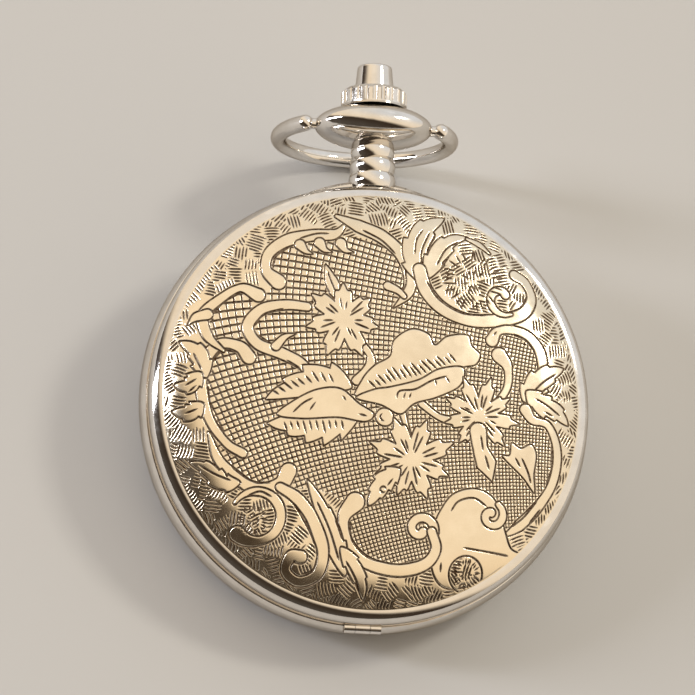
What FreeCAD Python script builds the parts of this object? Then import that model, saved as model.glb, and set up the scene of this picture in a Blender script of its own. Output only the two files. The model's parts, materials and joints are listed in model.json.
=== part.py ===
import FreeCAD, Part
import math
import os

# Hunter pocket watch, millimetres. Every piece is drawn in the watch's own frame: Z is the case axis
# with the front lid on +Z, +Y points to the pendant at 12 o'clock, and the winding stem lies on Z = 0.
# At the end the whole watch is tilted about X, so that it leans on its bow as it stands on a table.

V = FreeCAD.Vector
os.makedirs("parts", exist_ok=True)

# ---- driving dimensions: case ----
case_radius = 23.5          # widest radius of the case band
band_round = 0.5
band_edge_radius = case_radius - band_round     # at its upper and lower edges
cover_step = 0.1
cover_radius = band_edge_radius - cover_step    # lid and back cover
band_top = 0.9
band_bottom = -2.6
cover_gap = 0.2             # lid to band
back_gap = 0.1              # back cover to band
lid_wall = 0.6
back_wall = 0.7
lid_top = 6.8
lid_dome_radius = 120.0
lid_shoulder_width = 4.1
lid_edge_width = 1.3
lid_shoulder_reach = cover_radius - lid_edge_width          # where the shoulder meets the polished edge
lid_dome_reach = lid_shoulder_reach - lid_shoulder_width    # where the flat dome turns into the shoulder
lid_shoulder_radius = 9.0
lid_edge_top = 2.7
back_flat_radius = 9.0      # flat disc in the middle of the back
back_dome_radius = 60.0
back_edge_width = 1.7
back_dome_reach = cover_radius - back_edge_width
movement_radius = 18.3
movement_fit = 0.1
ring_fit = 0.1
ring_wall = 1.0
case_bore = movement_radius + movement_fit + ring_wall + ring_fit
seat_step = 1.0             # lid's edge to the rim that centres it
seat_wall = 0.5
seat_outer = cover_radius - seat_step
seat_inner = seat_outer - seat_wall
seat_height = 1.0
back_seat_outer = seat_outer + 0.1
back_seat_inner = back_seat_outer - seat_wall
back_seat_depth = 0.5
lip_inner = cover_radius - 0.85     # inner lip that the catch holds
lip_height = 0.4

# ---- driving dimensions: glass and dial ----
bezel_outer = 20.0
bezel_flange = 17.4
crystal_radius = 18.0
crystal_wall = 0.7
crystal_dome_radius = 200.0
crystal_bottom = 3.5
gasket_wall = 0.25
dial_bottom = 2.1
dial_wall = 0.4
register_radius = 3.6       # sunk seconds register
register_depth = 0.15

# ---- driving dimensions: pendant, crown, button, bow ----
pad_rise = 0.4
pad_top = case_radius + pad_rise    # crest of the saddle under the neck
pad_round = 14.9            # its own radius, so it runs out into the band
neck_foot_radius = 2.5      # outside of the lowest bead
neck_top_radius = 2.25      # outside of the highest bead
bead_count = 3
bead_bulge = 0.2
neck_length = 4.2
neck_top = pad_top + neck_length
bulb_middle = neck_top + 1.8
bulb_half_height = 2.3
bulb_depth = 4.7            # half depth, along the case axis
bulb_half_width = 6.2
crown_seat = bulb_middle + 1.85     # flat on top of the bulb
stem_bore = 1.25
sleeve_bore = 0.95
crown_radius = 3.45
crown_height = 2.0
crown_bottom = crown_seat + 0.1
crown_top = crown_bottom + crown_height
crown_web = 0.8
crown_chamfer = 0.45
flute_count = 24
flute_radius = 0.3
button_radius = 2.05
button_fit = 0.05
button_top_radius = 1.82
button_height = 2.6
button_top = crown_top + button_height
button_travel = 0.5
button_round = 0.3
bow_wire_radius = 0.85
bow_ring_radius = 9.1
bow_end_x = bulb_half_width + 1.0
bow_pin_radius = 0.55
bow_lean = -12.2            # degrees from plumb, positive with the foot towards the case
pivot_fit = 0.05            # running fit on pins and arbors

# ---- driving dimensions: hinge and catch ----
hinge_y = -band_edge_radius
hinge_z = 1.0
knuckle_radius = 0.65
knuckle_gap = 0.1
lid_knuckle_half = 0.75
knuckle_end = 1.9
hinge_pin_radius = 0.25
strip_inner = seat_inner - 0.65
strip_wall = 0.35
strip_bottom = 1.0
strip_top = 1.85
catch_pivot_angle = 118.0
lift_spring_start = 198.0
lift_spring_end = 262.0
small_screw_radius = 0.2

# ---- driving dimensions: movement levels, dial side up ----
plate_top = 1.4
plate_bottom = -0.8
barrel_bridge_top = -1.15
barrel_bridge_bottom = -1.65
train_bridge_top = -1.6
train_bridge_bottom = -2.3
cock_top = -2.9
cock_bottom = -3.5
pallet_cock_top = -1.6
pallet_cock_bottom = -1.95
bridge_radius = movement_radius - 1.3

# ---- driving dimensions: gears (teeth, module) ----
barrel_teeth, barrel_module = 72, 0.20
centre_pinion_teeth = 12
centre_teeth, centre_module = 64, 0.17
third_pinion_teeth = 8
third_teeth = 60
fourth_pinion_teeth = 8
fourth_teeth, fourth_module = 60, 0.13
escape_pinion_teeth = 6
cannon_teeth, minute_teeth, motion_module = 12, 36, 0.15
minute_pinion_teeth, hour_teeth = 10, 40
setting_teeth = 12
crown_wheel_teeth, ratchet_teeth = 24, 48
winding_teeth = 12

# ---- where the arbors stand ----
centre = (0.0, 0.0)
barrel_direction = 35.0
third_direction = -45.86
barrel_reach = barrel_module * (barrel_teeth + centre_pinion_teeth) / 2
third_reach = centre_module * (centre_teeth + third_pinion_teeth) / 2
crown_wheel_at = (0.0, 10.5)
fourth_at = (0.0, -7.2)
escape_direction = 169.9
escape_reach = fourth_module * (fourth_teeth + escape_pinion_teeth) / 2
balance_direction = 125.0
balance_reach = 6.6
pallet_reach = 2.9
balance_radius = 5.0
roller_radius = 1.0
impulse_radius = 0.8
escape_tip = 2.2


def polar(start, reach, degrees):
    """The point at a distance and direction from another."""
    turn = math.radians(degrees)
    return (start[0] + reach * math.cos(turn), start[1] + reach * math.sin(turn))


def distance(a, b):
    return math.hypot(b[0] - a[0], b[1] - a[1])


def direction(a, b):
    return math.degrees(math.atan2(b[1] - a[1], b[0] - a[0]))


barrel_at = polar(centre, barrel_reach, barrel_direction)
third_at = polar(centre, third_reach, third_direction)
escape_at = polar(fourth_at, escape_reach, escape_direction)
balance_at = polar(escape_at, balance_reach, balance_direction)
pallet_at = polar(escape_at, pallet_reach, balance_direction)
minute_at = (0.0, motion_module * (cannon_teeth + minute_teeth) / 2)
setting_at = (0.0, minute_at[1] + motion_module * (minute_teeth + setting_teeth) / 2)
third_module = 2 * distance(third_at, fourth_at) / (third_teeth + fourth_pinion_teeth)
hour_module = 2 * minute_at[1] / (minute_pinion_teeth + hour_teeth)
winding_module = 2 * distance(crown_wheel_at, barrel_at) / (crown_wheel_teeth + ratchet_teeth)


# ---- shape helpers ----

def outline(start, *steps):
    """Closed wire in the XZ plane. A step is an end point, or (middle, end) for an arc."""
    def point(p):
        return V(p[0], 0, p[1])
    edges = []
    here = start
    for step in steps + (start,):
        if isinstance(step[0], tuple):
            edges.append(Part.Arc(point(here), point(step[0]), point(step[1])).toShape())
            here = step[1]
        elif distance(here, step) > 1e-7:
            edges.append(Part.LineSegment(point(here), point(step)).toShape())
            here = step
    return Part.Wire(edges)


def lathe(start, *steps):
    """Turned about the case axis from (radius, z) points."""
    return Part.Face(outline(start, *steps)).revolve(V(0, 0, 0), V(0, 0, 1), 360)


def stem_lathe(start, *steps):
    """Turned about the stem axis from (radius, y) points."""
    solid = lathe(start, *steps)
    solid.rotate(V(0, 0, 0), V(1, 0, 0), -90)
    return solid


def disc(at, radius, low, high):
    return Part.makeCylinder(radius, high - low, V(at[0], at[1], low))


def ring(at, inner, outer, low, high):
    return disc(at, outer, low, high).cut(disc(at, inner, low - 1, high + 1))


def rod(radius, low, high):
    """Cylinder on the stem axis."""
    return Part.makeCylinder(radius, high - low, V(0, low, 0), V(0, 1, 0))


def cross_rod(radius, low, high, y, z):
    """Cylinder along X."""
    return Part.makeCylinder(radius, high - low, V(low, y, z), V(1, 0, 0))


def block(x0, x1, y0, y1, z0, z1):
    return Part.makeBox(x1 - x0, y1 - y0, z1 - z0, V(x0, y0, z0))


def plate_from(points, low, high):
    """Flat plate from a polygon in plan."""
    corners = [V(x, y, low) for x, y in points]
    face = Part.Face(Part.makePolygon(corners + corners[:1]))
    return face.extrude(V(0, 0, high - low))


def bar(a, b, width, low, high):
    """Flat bar with rounded ends between two points in plan."""
    turn = math.radians(direction(a, b) + 90)
    side = (width / 2 * math.cos(turn), width / 2 * math.sin(turn))
    corners = [(a[0] + side[0], a[1] + side[1]), (a[0] - side[0], a[1] - side[1]),
               (b[0] - side[0], b[1] - side[1]), (b[0] + side[0], b[1] + side[1])]
    ends = [disc(a, width / 2, low, high), disc(b, width / 2, low, high)]
    return joined(plate_from(corners, low, high), *ends)


def sector(inner, outer, start, end, low, high):
    """Part of a ring about the case axis, between two directions in degrees."""
    def point(radius, degrees):
        return V(*polar(centre, radius, degrees), low)
    middle = (start + end) / 2
    edges = [Part.Arc(point(outer, start), point(outer, middle), point(outer, end)).toShape(),
             Part.LineSegment(point(outer, end), point(inner, end)).toShape(),
             Part.Arc(point(inner, end), point(inner, middle), point(inner, start)).toShape(),
             Part.LineSegment(point(inner, start), point(outer, start)).toShape()]
    return Part.Face(Part.Wire(edges)).extrude(V(0, 0, high - low))


def joined(first, *others):
    return first.multiFuse(list(others)).removeSplitter()


def without(shape, *tools):
    return shape.cut(list(tools)) if tools else shape


def gear(teeth, module, at, low, high, tooth_direction):
    """Slim straight-sided teeth with working backlash; one tooth points along tooth_direction."""
    pitch = teeth * module / 2
    step = 360.0 / teeth
    points = []
    for i in range(teeth):
        middle = tooth_direction + i * step
        for radius, share in ((pitch - 1.3 * module, -0.25), (pitch + 0.8 * module, -0.10),
                              (pitch + 0.8 * module, 0.10), (pitch - 1.3 * module, 0.25)):
            points.append(polar(at, radius, middle + share * step))
    return plate_from(points, low, high)


def meshed_direction(teeth, a, b):
    """Tooth direction on the wheel at b, whose gap meets the tooth that a points at it."""
    return direction(b, a) + 180.0 / teeth


def spokes(at, hub, rim, count, width, low, high, first=0.0):
    """The windows between a wheel's spokes, to be cut away."""
    windows = ring(at, hub, rim, low, high)
    arms = [bar(at, polar(at, rim + 1, first + i * 360.0 / count), width, low - 1, high + 1)
            for i in range(count)]
    return without(windows, *arms)


def arbor(at, *steps):
    """Turned arbor from (radius, low, high) steps."""
    pieces = [disc(at, radius, low, high) for radius, low, high in steps]
    return joined(*pieces)


def screw(at, head_radius, shank_radius, head_bottom, head_height, tip):
    """Slotted screw seen from the back: its head is at the bottom and its tip at the top."""
    head = disc(at, head_radius, head_bottom, head_bottom + head_height)
    shank = disc(at, shank_radius, head_bottom, tip)
    slot = block(at[0] - head_radius, at[0] + head_radius, at[1] - 0.1, at[1] + 0.1,
                 head_bottom - 1, head_bottom + head_height / 2)
    return without(joined(head, shank), slot)


# ---- case ----

dome_slope = math.asin(lid_dome_reach / lid_dome_radius)
dome_drop = lid_dome_radius * (1 - math.cos(dome_slope))
shoulder_x = lid_dome_reach - lid_shoulder_radius * math.sin(dome_slope)
shoulder_z = lid_top - dome_drop - lid_shoulder_radius * math.cos(dome_slope)


def lid_height(radius, wall=0.0):
    """Height of the lid's face, or of its inside for a wall, up to the shoulder's end."""
    if radius <= lid_dome_reach - wall * math.sin(dome_slope):
        reach = lid_dome_radius - wall
        return lid_top - lid_dome_radius + math.sqrt(reach ** 2 - radius ** 2)
    reach = lid_shoulder_radius - wall
    return shoulder_z + math.sqrt(reach ** 2 - (radius - shoulder_x) ** 2)


def lid_point(radius, wall=0.0):
    return (radius, lid_height(radius, wall))


back_slope = math.asin((back_dome_reach - back_flat_radius) / back_dome_radius)
back_round = (cover_radius - back_dome_reach) / (1 - math.sin(back_slope))
back_edge = band_bottom - back_gap
back_round_z = back_edge - 0.06
back_flat_z = (back_round_z - back_round * math.cos(back_slope)
               - back_dome_radius * (1 - math.cos(back_slope)))
back_round_x = cover_radius - back_round


def case_envelope():
    """The band's outside as a full solid."""
    middle = (band_top + band_bottom) / 2
    return lathe((0, band_top), (band_edge_radius, band_top),
                 ((case_radius, middle), (band_edge_radius, band_bottom)), (0, band_bottom))


def knuckle(radius, low, high):
    return cross_rod(radius, low, high, hinge_y, hinge_z)


def case_middle():
    middle = (band_top + band_bottom) / 2
    back_seat_bottom = band_bottom - back_seat_depth
    band = lathe((case_bore, band_top), (seat_inner, band_top), (seat_inner, band_top + seat_height),
                 (seat_outer, band_top + seat_height), (seat_outer, band_top),
                 (band_edge_radius, band_top),
                 ((case_radius, middle), (band_edge_radius, band_bottom)),
                 (back_seat_outer, band_bottom), (back_seat_outer, back_seat_bottom),
                 (back_seat_inner, back_seat_bottom), (back_seat_inner, band_bottom + 0.6),
                 (case_bore, band_bottom + 0.6))
    cuts = [rod(stem_bore, movement_radius, case_radius + 1),
            block(-1.5, 1.5, seat_inner - 0.4, seat_outer + 0.1, band_top, band_top + 2),
            block(-1.1, 1.1, bezel_outer + 0.02, strip_inner + strip_wall + 0.15, 0.2, band_top + 0.1),
            knuckle(knuckle_radius + knuckle_gap, -lid_knuckle_half - pivot_fit,
                    lid_knuckle_half + pivot_fit),
            knuckle(knuckle_radius, lid_knuckle_half, knuckle_end),
            knuckle(knuckle_radius, -knuckle_end, -lid_knuckle_half)]
    return without(band, *cuts, *band_screws())


def catch_pivot():
    return polar(centre, strip_inner + strip_wall / 2, catch_pivot_angle)


def lift_spring_pivot():
    return polar(centre, strip_inner + strip_wall / 2, lift_spring_start)


def band_screw(at):
    """Screw from the front that holds a spring in the channel round the bezel."""
    head = disc(at, 2 * small_screw_radius, strip_top, strip_top + 0.25)
    shank = disc(at, small_screw_radius, 0.1, strip_top)
    slot = block(at[0] - 1, at[0] + 1, at[1] - 0.06, at[1] + 0.06, strip_top + 0.1, strip_top + 1)
    return without(joined(head, shank), slot)


def band_screws():
    return [band_screw(catch_pivot()), band_screw(lift_spring_pivot())]


def lid_catch():
    """Sprung strip with the nose that holds the lid and the tab that the collar pushes."""
    outer = strip_inner + strip_wall
    strip = sector(strip_inner, outer, 88.0, catch_pivot_angle, strip_bottom, strip_top)
    nose = block(-1.0, 1.0, strip_inner + 0.1, lip_inner - 0.1, strip_top - 0.4, strip_top)
    tab = block(-0.8, 0.8, strip_inner, outer - 0.05, stem_radius + 0.1, strip_bottom + 0.3)
    pivot = catch_pivot()
    eye = disc(pivot, 0.48, strip_bottom, strip_top)
    hole = disc(pivot, small_screw_radius + pivot_fit, 0, strip_top + 1)
    return without(joined(strip, nose, tab, eye), hole)


def lift_spring():
    strip = sector(strip_inner, strip_inner + strip_wall, lift_spring_start, lift_spring_end,
                   strip_bottom, strip_top)
    pivot = lift_spring_pivot()
    eye = disc(pivot, 0.48, strip_bottom, strip_top)
    return without(joined(strip, eye), disc(pivot, small_screw_radius, 0, strip_top + 1))


def casing_ring():
    """Ring that carries the movement in the case, with a ledge under the plate."""
    ring_bottom = plate_bottom - 0.4
    ring_inner = movement_radius + movement_fit
    body = lathe((ring_inner, band_top), (case_bore - ring_fit, band_top),
                 (case_bore - ring_fit, ring_bottom), (movement_radius - 0.5, ring_bottom),
                 (movement_radius - 0.5, plate_bottom), (ring_inner, plate_bottom))
    return without(body, rod(stem_bore - 0.2, movement_radius - 1, case_bore + 1))


def front_bezel():
    ledge = crystal_bottom
    seat = crystal_radius + gasket_wall
    inner = movement_radius + movement_fit
    return lathe((inner, band_top), (bezel_outer, band_top), (bezel_outer, band_top + 1.3),
                 (seat + 0.55, ledge + 0.55), (seat, ledge + 0.55), (seat, ledge),
                 (bezel_flange, ledge), (bezel_flange, dial_bottom + dial_wall + 0.1),
                 (inner, dial_bottom + dial_wall + 0.1))


def crystal():
    rise = crystal_dome_radius - math.sqrt(crystal_dome_radius ** 2 - crystal_radius ** 2)
    def dome(radius, low):
        return low + rise - crystal_dome_radius + math.sqrt(crystal_dome_radius ** 2 - radius ** 2)
    low = crystal_bottom
    high = crystal_bottom + crystal_wall
    half = crystal_radius / 2
    return lathe((0, dome(0, high)), ((half, dome(half, high)), (crystal_radius, high)),
                 (crystal_radius, low), ((half, dome(half, low)), (0, dome(0, low))))


def crystal_gasket():
    return ring(centre, crystal_radius, crystal_radius + gasket_wall, crystal_bottom,
                crystal_bottom + crystal_wall - 0.15)


def lid_shell():
    """Domed front lid with a polished edge and an inner lip."""
    low = band_top + cover_gap
    inner = cover_radius - lid_wall
    shoulder_mid = (lid_dome_reach + lid_shoulder_reach) / 2
    inner_join = lid_dome_reach - lid_wall * math.sin(dome_slope)
    inner_end = lid_shoulder_reach - 0.3
    shell = lathe(lid_point(0), (lid_point(lid_dome_reach / 2), lid_point(lid_dome_reach)),
                  (lid_point(shoulder_mid), lid_point(lid_shoulder_reach)),
                  ((cover_radius - 0.22, lid_edge_top + 0.42), (cover_radius, lid_edge_top - 0.25)),
                  (cover_radius, low), (lip_inner, low), (lip_inner, low + lip_height),
                  (inner, low + lip_height), (inner, lid_edge_top - 0.35),
                  lid_point(inner_end, lid_wall),
                  (lid_point((inner_join + inner_end) / 2, lid_wall), lid_point(inner_join, lid_wall)),
                  (lid_point(inner_join / 2, lid_wall), lid_point(0, lid_wall)))
    cuts = [knuckle(knuckle_radius, -lid_knuckle_half, lid_knuckle_half),
            knuckle(knuckle_radius + knuckle_gap, lid_knuckle_half, knuckle_end + pivot_fit),
            knuckle(knuckle_radius + knuckle_gap, -knuckle_end - pivot_fit, -lid_knuckle_half)]
    return without(shell, *cuts)


def back_cover():
    """Snap-on back, domed round a flat middle that the watch can lie on."""
    wall = back_wall
    half_dome = (back_flat_radius + back_dome_reach) / 2
    half_turn = math.radians(45) + back_slope / 2

    def dome_z(radius, inset):
        reach = back_dome_radius - inset
        return back_flat_z + back_dome_radius - math.sqrt(reach ** 2 - (radius - back_flat_radius) ** 2)

    def round_point(turn, inset):
        reach = back_round - inset
        return (back_round_x + reach * math.sin(turn), back_round_z - reach * math.cos(turn))
    outer_join = round_point(back_slope, 0)
    inner_join = round_point(back_slope, wall)
    inner_half = (back_flat_radius + inner_join[0]) / 2
    return lathe((0, back_flat_z), (back_flat_radius, back_flat_z),
                 ((half_dome, dome_z(half_dome, 0)), outer_join),
                 (round_point(half_turn, 0), (cover_radius, back_round_z)),
                 (cover_radius, back_edge), (cover_radius - wall, back_edge),
                 (cover_radius - wall, back_round_z), (round_point(half_turn, wall), inner_join),
                 ((inner_half, dome_z(inner_half, wall)), (back_flat_radius, back_flat_z + wall)),
                 (0, back_flat_z + wall))


def lid_knuckle():
    bore = hinge_pin_radius + pivot_fit
    return without(knuckle(knuckle_radius, -lid_knuckle_half, lid_knuckle_half), knuckle(bore, -9, 9))


def case_knuckles():
    """The two outer knuckles, with the band's hinge notch between them."""
    start = lid_knuckle_half + pivot_fit
    pair = [knuckle(knuckle_radius, start, knuckle_end), knuckle(knuckle_radius, -knuckle_end, -start)]
    return Part.makeCompound([without(piece, knuckle(hinge_pin_radius, -9, 9)) for piece in pair])


def hinge_pin():
    return knuckle(hinge_pin_radius, -knuckle_end, knuckle_end)


# ---- pendant, bow, crown, button ----

def neck_profile():
    """Rounded beads between shallow grooves, a little slimmer towards the bulb."""
    foot = band_edge_radius + 0.15
    pitch = (neck_top - foot) / bead_count

    def outside(y):
        share = (y - foot) / (neck_top - foot)
        return neck_foot_radius + (neck_top_radius - neck_foot_radius) * share
    steps = [(outside(foot) - bead_bulge, foot)]
    for i in range(bead_count):
        crest = foot + (i + 0.5) * pitch
        groove = foot + (i + 1) * pitch
        steps.append(((outside(crest), crest), (outside(groove) - bead_bulge, groove)))
    return [(0, foot)] + steps + [(neck_top_radius - bead_bulge, neck_top + 1), (0, neck_top + 1)]


def pendant():
    """Saddle on the band, ringed neck and the bulb that takes the bow and the crown."""
    pad = disc((0, pad_top - pad_round), pad_round, band_bottom + 0.1, band_top - 0.05)
    pad = pad.common(block(-pad_round, pad_round, case_bore, pad_top + 1, -9, 9))
    rim = [edge for edge in pad.Edges if edge.BoundBox.YMax > case_radius and edge.BoundBox.ZLength < 0.01]
    pad = pad.makeChamfer(0.3, rim)
    stretch = FreeCAD.Matrix()
    stretch.scale(V(bulb_half_width, bulb_half_height, bulb_depth))
    bulb = Part.makeSphere(1.0).transformGeometry(stretch)
    bulb.translate(V(0, bulb_middle, 0))
    neck = stem_lathe(*neck_profile())
    body = joined(pad, neck, bulb)
    hole = bow_pin_radius + pivot_fit
    cuts = [case_envelope(), rod(bulb_half_width, crown_seat, crown_seat + 5),
            rod(stem_bore, case_bore - 1, crown_seat + 1),
            cross_rod(hole, bulb_half_width - 1.2, bulb_half_width + 1, bulb_middle, 0),
            cross_rod(hole, -bulb_half_width - 1, -bulb_half_width + 1.2, bulb_middle, 0)]
    return without(body, *cuts)


def pendant_sleeve():
    return rod(stem_bore, case_radius + 0.1, crown_seat).cut(rod(sleeve_bore, 0, crown_seat + 1))


bow_centre_reach = math.sqrt(bow_ring_radius ** 2 - bow_end_x ** 2)
bow_foot_reach = bow_centre_reach + bow_ring_radius


def bow():
    """C-shaped ring whose turned-in pins sit in the sides of the bulb."""
    start = math.degrees(math.atan2(-bow_centre_reach, bow_end_x))
    section = Part.Wire(Part.makeCircle(bow_wire_radius, V(bow_ring_radius, 0, 0), V(0, 1, 0)))
    loop = Part.Face(section).revolve(V(0, 0, 0), V(0, 0, 1), 180 - 2 * start)
    loop.rotate(V(0, 0, 0), V(0, 0, 1), start)
    loop.translate(V(0, bow_centre_reach, 0))
    pieces = [Part.makeSphere(bow_wire_radius, V(side * bow_end_x, 0, 0)) for side in (1, -1)]
    pin_end = bulb_half_width - 1.1
    pieces += [cross_rod(bow_pin_radius, pin_end, bow_end_x, 0, 0),
               cross_rod(bow_pin_radius, -bow_end_x, -pin_end, 0, 0)]
    ring_shape = joined(loop, *pieces)
    ring_shape.rotate(V(0, 0, 0), V(1, 0, 0), bow_rest)
    ring_shape.translate(V(0, bulb_middle, 0))
    return ring_shape


def crown():
    """Fluted crown over the bulb's flat seat, hollow for the button."""
    bore = button_radius + button_fit
    web_top = crown_bottom + crown_web
    body = stem_lathe((stem_radius, crown_bottom), (crown_radius - 0.15, crown_bottom),
                      (crown_radius, crown_bottom + 0.15), (crown_radius, crown_top - crown_chamfer),
                      (crown_radius - crown_chamfer, crown_top), (bore, crown_top), (bore, web_top),
                      (stem_radius, web_top))
    flutes = []
    for i in range(flute_count):
        at = polar(centre, crown_radius + 0.08, (i + 0.5) * 360.0 / flute_count)
        low = crown_bottom + 0.3
        flutes.append(Part.makeCylinder(flute_radius, crown_top, V(at[0], low, at[1]), V(0, 1, 0)))
    return without(body, *flutes)


stem_radius = 0.75
rod_radius = 0.35
stem_top = crown_bottom + crown_web
collar_low = strip_inner + strip_wall + 0.15
collar_wall = 0.35
collar_radius = 1.1
pin_y = collar_low + collar_wall / 2
groove_low, groove_high = 14.35, 14.85
square_low, square_high = 8.55, 12.2
square_side = 0.85
thin_stem = 0.6
thick_stem_from = movement_radius + 0.1


def winding_stem():
    """Pilot, square for the clutch, lever groove, then hollow up to the crown."""
    shape = joined(rod(0.35, 7.4, square_low + 0.1),
                   block(-square_side / 2, square_side / 2, square_low, square_high + 0.1,
                         -square_side / 2, square_side / 2),
                   rod(thin_stem, square_high, groove_low), rod(0.35, groove_low - 0.1, groove_high + 0.1),
                   rod(thin_stem, groove_high, thick_stem_from + 0.1),
                   rod(stem_radius, thick_stem_from, stem_top))
    slot = block(-2, 2, pin_y - button_travel - 0.3, pin_y + 0.3, -0.25, 0.25)
    return without(shape, rod(rod_radius + 0.07, pin_y - button_travel - 0.3, stem_top + 1), slot)


cap_low = stem_top + button_travel + 0.05


def push_button():
    """Tapered cap with a pocket for its spring."""
    pocket_top = cap_low + 1.15
    return stem_lathe((0, cap_low), (0.6, cap_low), (0.6, pocket_top), (1.5, pocket_top), (1.5, cap_low),
                      (button_radius, cap_low), (button_radius, crown_top),
                      (button_top_radius, button_top - button_round),
                      ((button_top_radius - 0.3 * button_round, button_top - 0.3 * button_round),
                       (button_top_radius - button_round, button_top)), (0, button_top))


def button_rod():
    """Rod inside the stem, and the collar that a cross pin joins to it."""
    collar = rod(collar_radius, collar_low, collar_low + collar_wall)
    collar = collar.cut(rod(stem_radius + pivot_fit, 0, 30))
    pin = cross_rod(0.17, -collar_radius + 0.1, collar_radius - 0.1, pin_y, 0)
    return joined(collar, rod(rod_radius, pin_y, cap_low), pin)


def button_spring():
    """Pleated spring sleeve round the rod, between the crown's web and the cap."""
    low, high = stem_top + 0.1, stem_top + 1.5
    outer, inner, wall, folds = 1.35, 1.02, 0.2, 6
    rise = (high - low) / folds
    front = [((outer, inner)[i % 2], low + i * rise) for i in range(folds + 1)]
    back = [(radius - wall, y) for radius, y in reversed(front)]
    return stem_lathe(*front, *back)


# ---- keyless work ----

clutch_low, clutch_high = 9.3, 11.6
clutch_radius = 1.1
clutch_groove = 0.75
finger_y = 10.55
pinion_low, pinion_high = 11.95, 13.6
pinion_module = 2 * 1.15 / (winding_teeth + 1.6)
trough_radius = 1.35
trough_half = 1.2
trough_low, trough_high = 8.5, 14.0
lever_pivot = (4.5, 14.6)
yoke_pivot = (-5.0, finger_y)
lever_low, lever_high = 1.55, 1.85


def stem_gear(teeth, module, low, high):
    """Spur teeth on the stem axis."""
    shape = gear(teeth, module, centre, low, high, 90.0)
    shape.rotate(V(0, 0, 0), V(1, 0, 0), -90)
    return shape


def winding_pinion():
    body = stem_gear(winding_teeth, pinion_module, pinion_low, pinion_high)
    return body.cut(rod(thin_stem + pivot_fit, 0, 20))


def clutch_wheel():
    side = square_side / 2 + pivot_fit
    body = joined(stem_gear(winding_teeth, 2 * clutch_radius / (winding_teeth + 1.6), clutch_low,
                            clutch_high - 0.3), rod(clutch_radius, clutch_high - 0.4, clutch_high))
    groove = rod(clutch_radius + 1, finger_y - 0.25, finger_y + 0.25).cut(rod(clutch_groove, 0, 20))
    return without(body, groove, block(-side, side, 0, 20, -side, side))


def setting_lever():
    arm = bar(lever_pivot, (0.0, lever_pivot[1]), 0.8, lever_low, lever_high)
    pin = disc((0.0, lever_pivot[1]), 0.18, 0.4, lever_high)
    eye = disc(lever_pivot, 0.8, lever_low, lever_high)
    return without(joined(arm, pin, eye), disc(lever_pivot, 0.35, 0, 3))


def yoke():
    arm = bar(yoke_pivot, (0.0, finger_y), 0.7, lever_low, lever_high)
    pin = disc((0.0, finger_y), 0.2, clutch_groove + 0.1, lever_high)
    eye = disc(yoke_pivot, 0.8, lever_low, lever_high)
    return without(joined(arm, pin, eye), disc(yoke_pivot, 0.35, 0, 3))


def setting_lever_spring():
    """Jumper beside the setting lever."""
    foot = disc((8.6, 14.2), 0.9, lever_low, lever_high)
    blade = bar((8.6, 14.2), (6.4, 16.6), 0.35, lever_low, lever_high)
    return without(joined(foot, blade), disc((8.6, 14.2), 0.3, 0, 3))


def setting_wheel():
    body = gear(setting_teeth, motion_module, setting_at, 1.5, 1.65, -90.0)
    return body.cut(disc(setting_at, 0.3 + pivot_fit, 1, 2))


crown_wheel_low, crown_wheel_high = -1.95, -1.70


def crown_wheel():
    """Flat wheel with a tooth ring towards the winding pinion."""
    teeth = gear(crown_wheel_teeth, winding_module, crown_wheel_at, crown_wheel_low, crown_wheel_high,
                 direction(crown_wheel_at, barrel_at))
    face = ring(crown_wheel_at, 1.95, 2.75, crown_wheel_high - 0.1, -1.32)
    return without(joined(teeth, face), disc(crown_wheel_at, 0.65, -9, 9))


def ratchet_wheel():
    teeth = gear(ratchet_teeth, winding_module, barrel_at, crown_wheel_low, crown_wheel_high,
                 meshed_direction(ratchet_teeth, crown_wheel_at, barrel_at))
    half = ratchet_square / 2
    square = block(barrel_at[0] - half, barrel_at[0] + half, barrel_at[1] - half, barrel_at[1] + half,
                   -9, 9)
    return without(teeth, square)


ratchet_square = 1.1
click_pivot = (11.6, 11.4)
click_tip = (9.4, 11.3)


def click():
    body = joined(bar(click_pivot, click_tip, 0.6, crown_wheel_low, crown_wheel_high),
                  disc(click_pivot, 0.8, crown_wheel_low, crown_wheel_high))
    return without(body, disc(click_pivot, 0.3 + pivot_fit, -9, 9))


def click_spring():
    foot = (8.2, 14.2)
    tip = (10.2, 12.6)
    return joined(disc(foot, 0.6, crown_wheel_low, crown_wheel_high),
                  bar(foot, tip, 0.2, crown_wheel_low, crown_wheel_high))


def ratchet_screw():
    return screw(barrel_at, 1.5, 0.4, crown_wheel_low - 0.3, 0.3, -1.3)


def crown_wheel_screw():
    return screw(crown_wheel_at, 1.2, 0.6, crown_wheel_low - 0.35, 0.3, -1.4)


# ---- plates and bridges ----

case_screw_places = [polar(centre, movement_radius - 1.2, a) for a in (20.0, 245.0)]
barrel_screw_places = [polar(centre, bridge_radius - 1.1, a) for a in (75.0, 110.0, 150.0)]
train_screw_places = [polar(centre, bridge_radius - 2.0, a) for a in (215.0, 270.0, 330.0)]
cock_foot = (-15.3, -2.2)
pallet_foot = polar(pallet_at, 3.3, balance_direction + 95.0)
jewel_radius = 0.55


def movement_screws():
    pieces = [screw(at, 0.75, 0.4, barrel_bridge_bottom, 0.3, 0.2) for at in barrel_screw_places]
    pieces += [screw(at, 0.75, 0.4, train_bridge_bottom, 0.3, 0.2) for at in train_screw_places]
    pieces.append(screw(cock_foot, 0.75, 0.4, cock_bottom, 0.3, 0.2))
    pieces.append(screw(pallet_foot, 0.45, 0.22, pallet_cock_bottom, 0.15, -0.2))
    return pieces


def case_screw(at):
    return screw(at, 1.2, 0.5, plate_bottom - 0.8, 0.4, -0.1)


def bearing(at, pivot, low, high):
    """Ring jewel round a pivot."""
    return ring(at, pivot + pivot_fit, jewel_radius, low, high)


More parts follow.
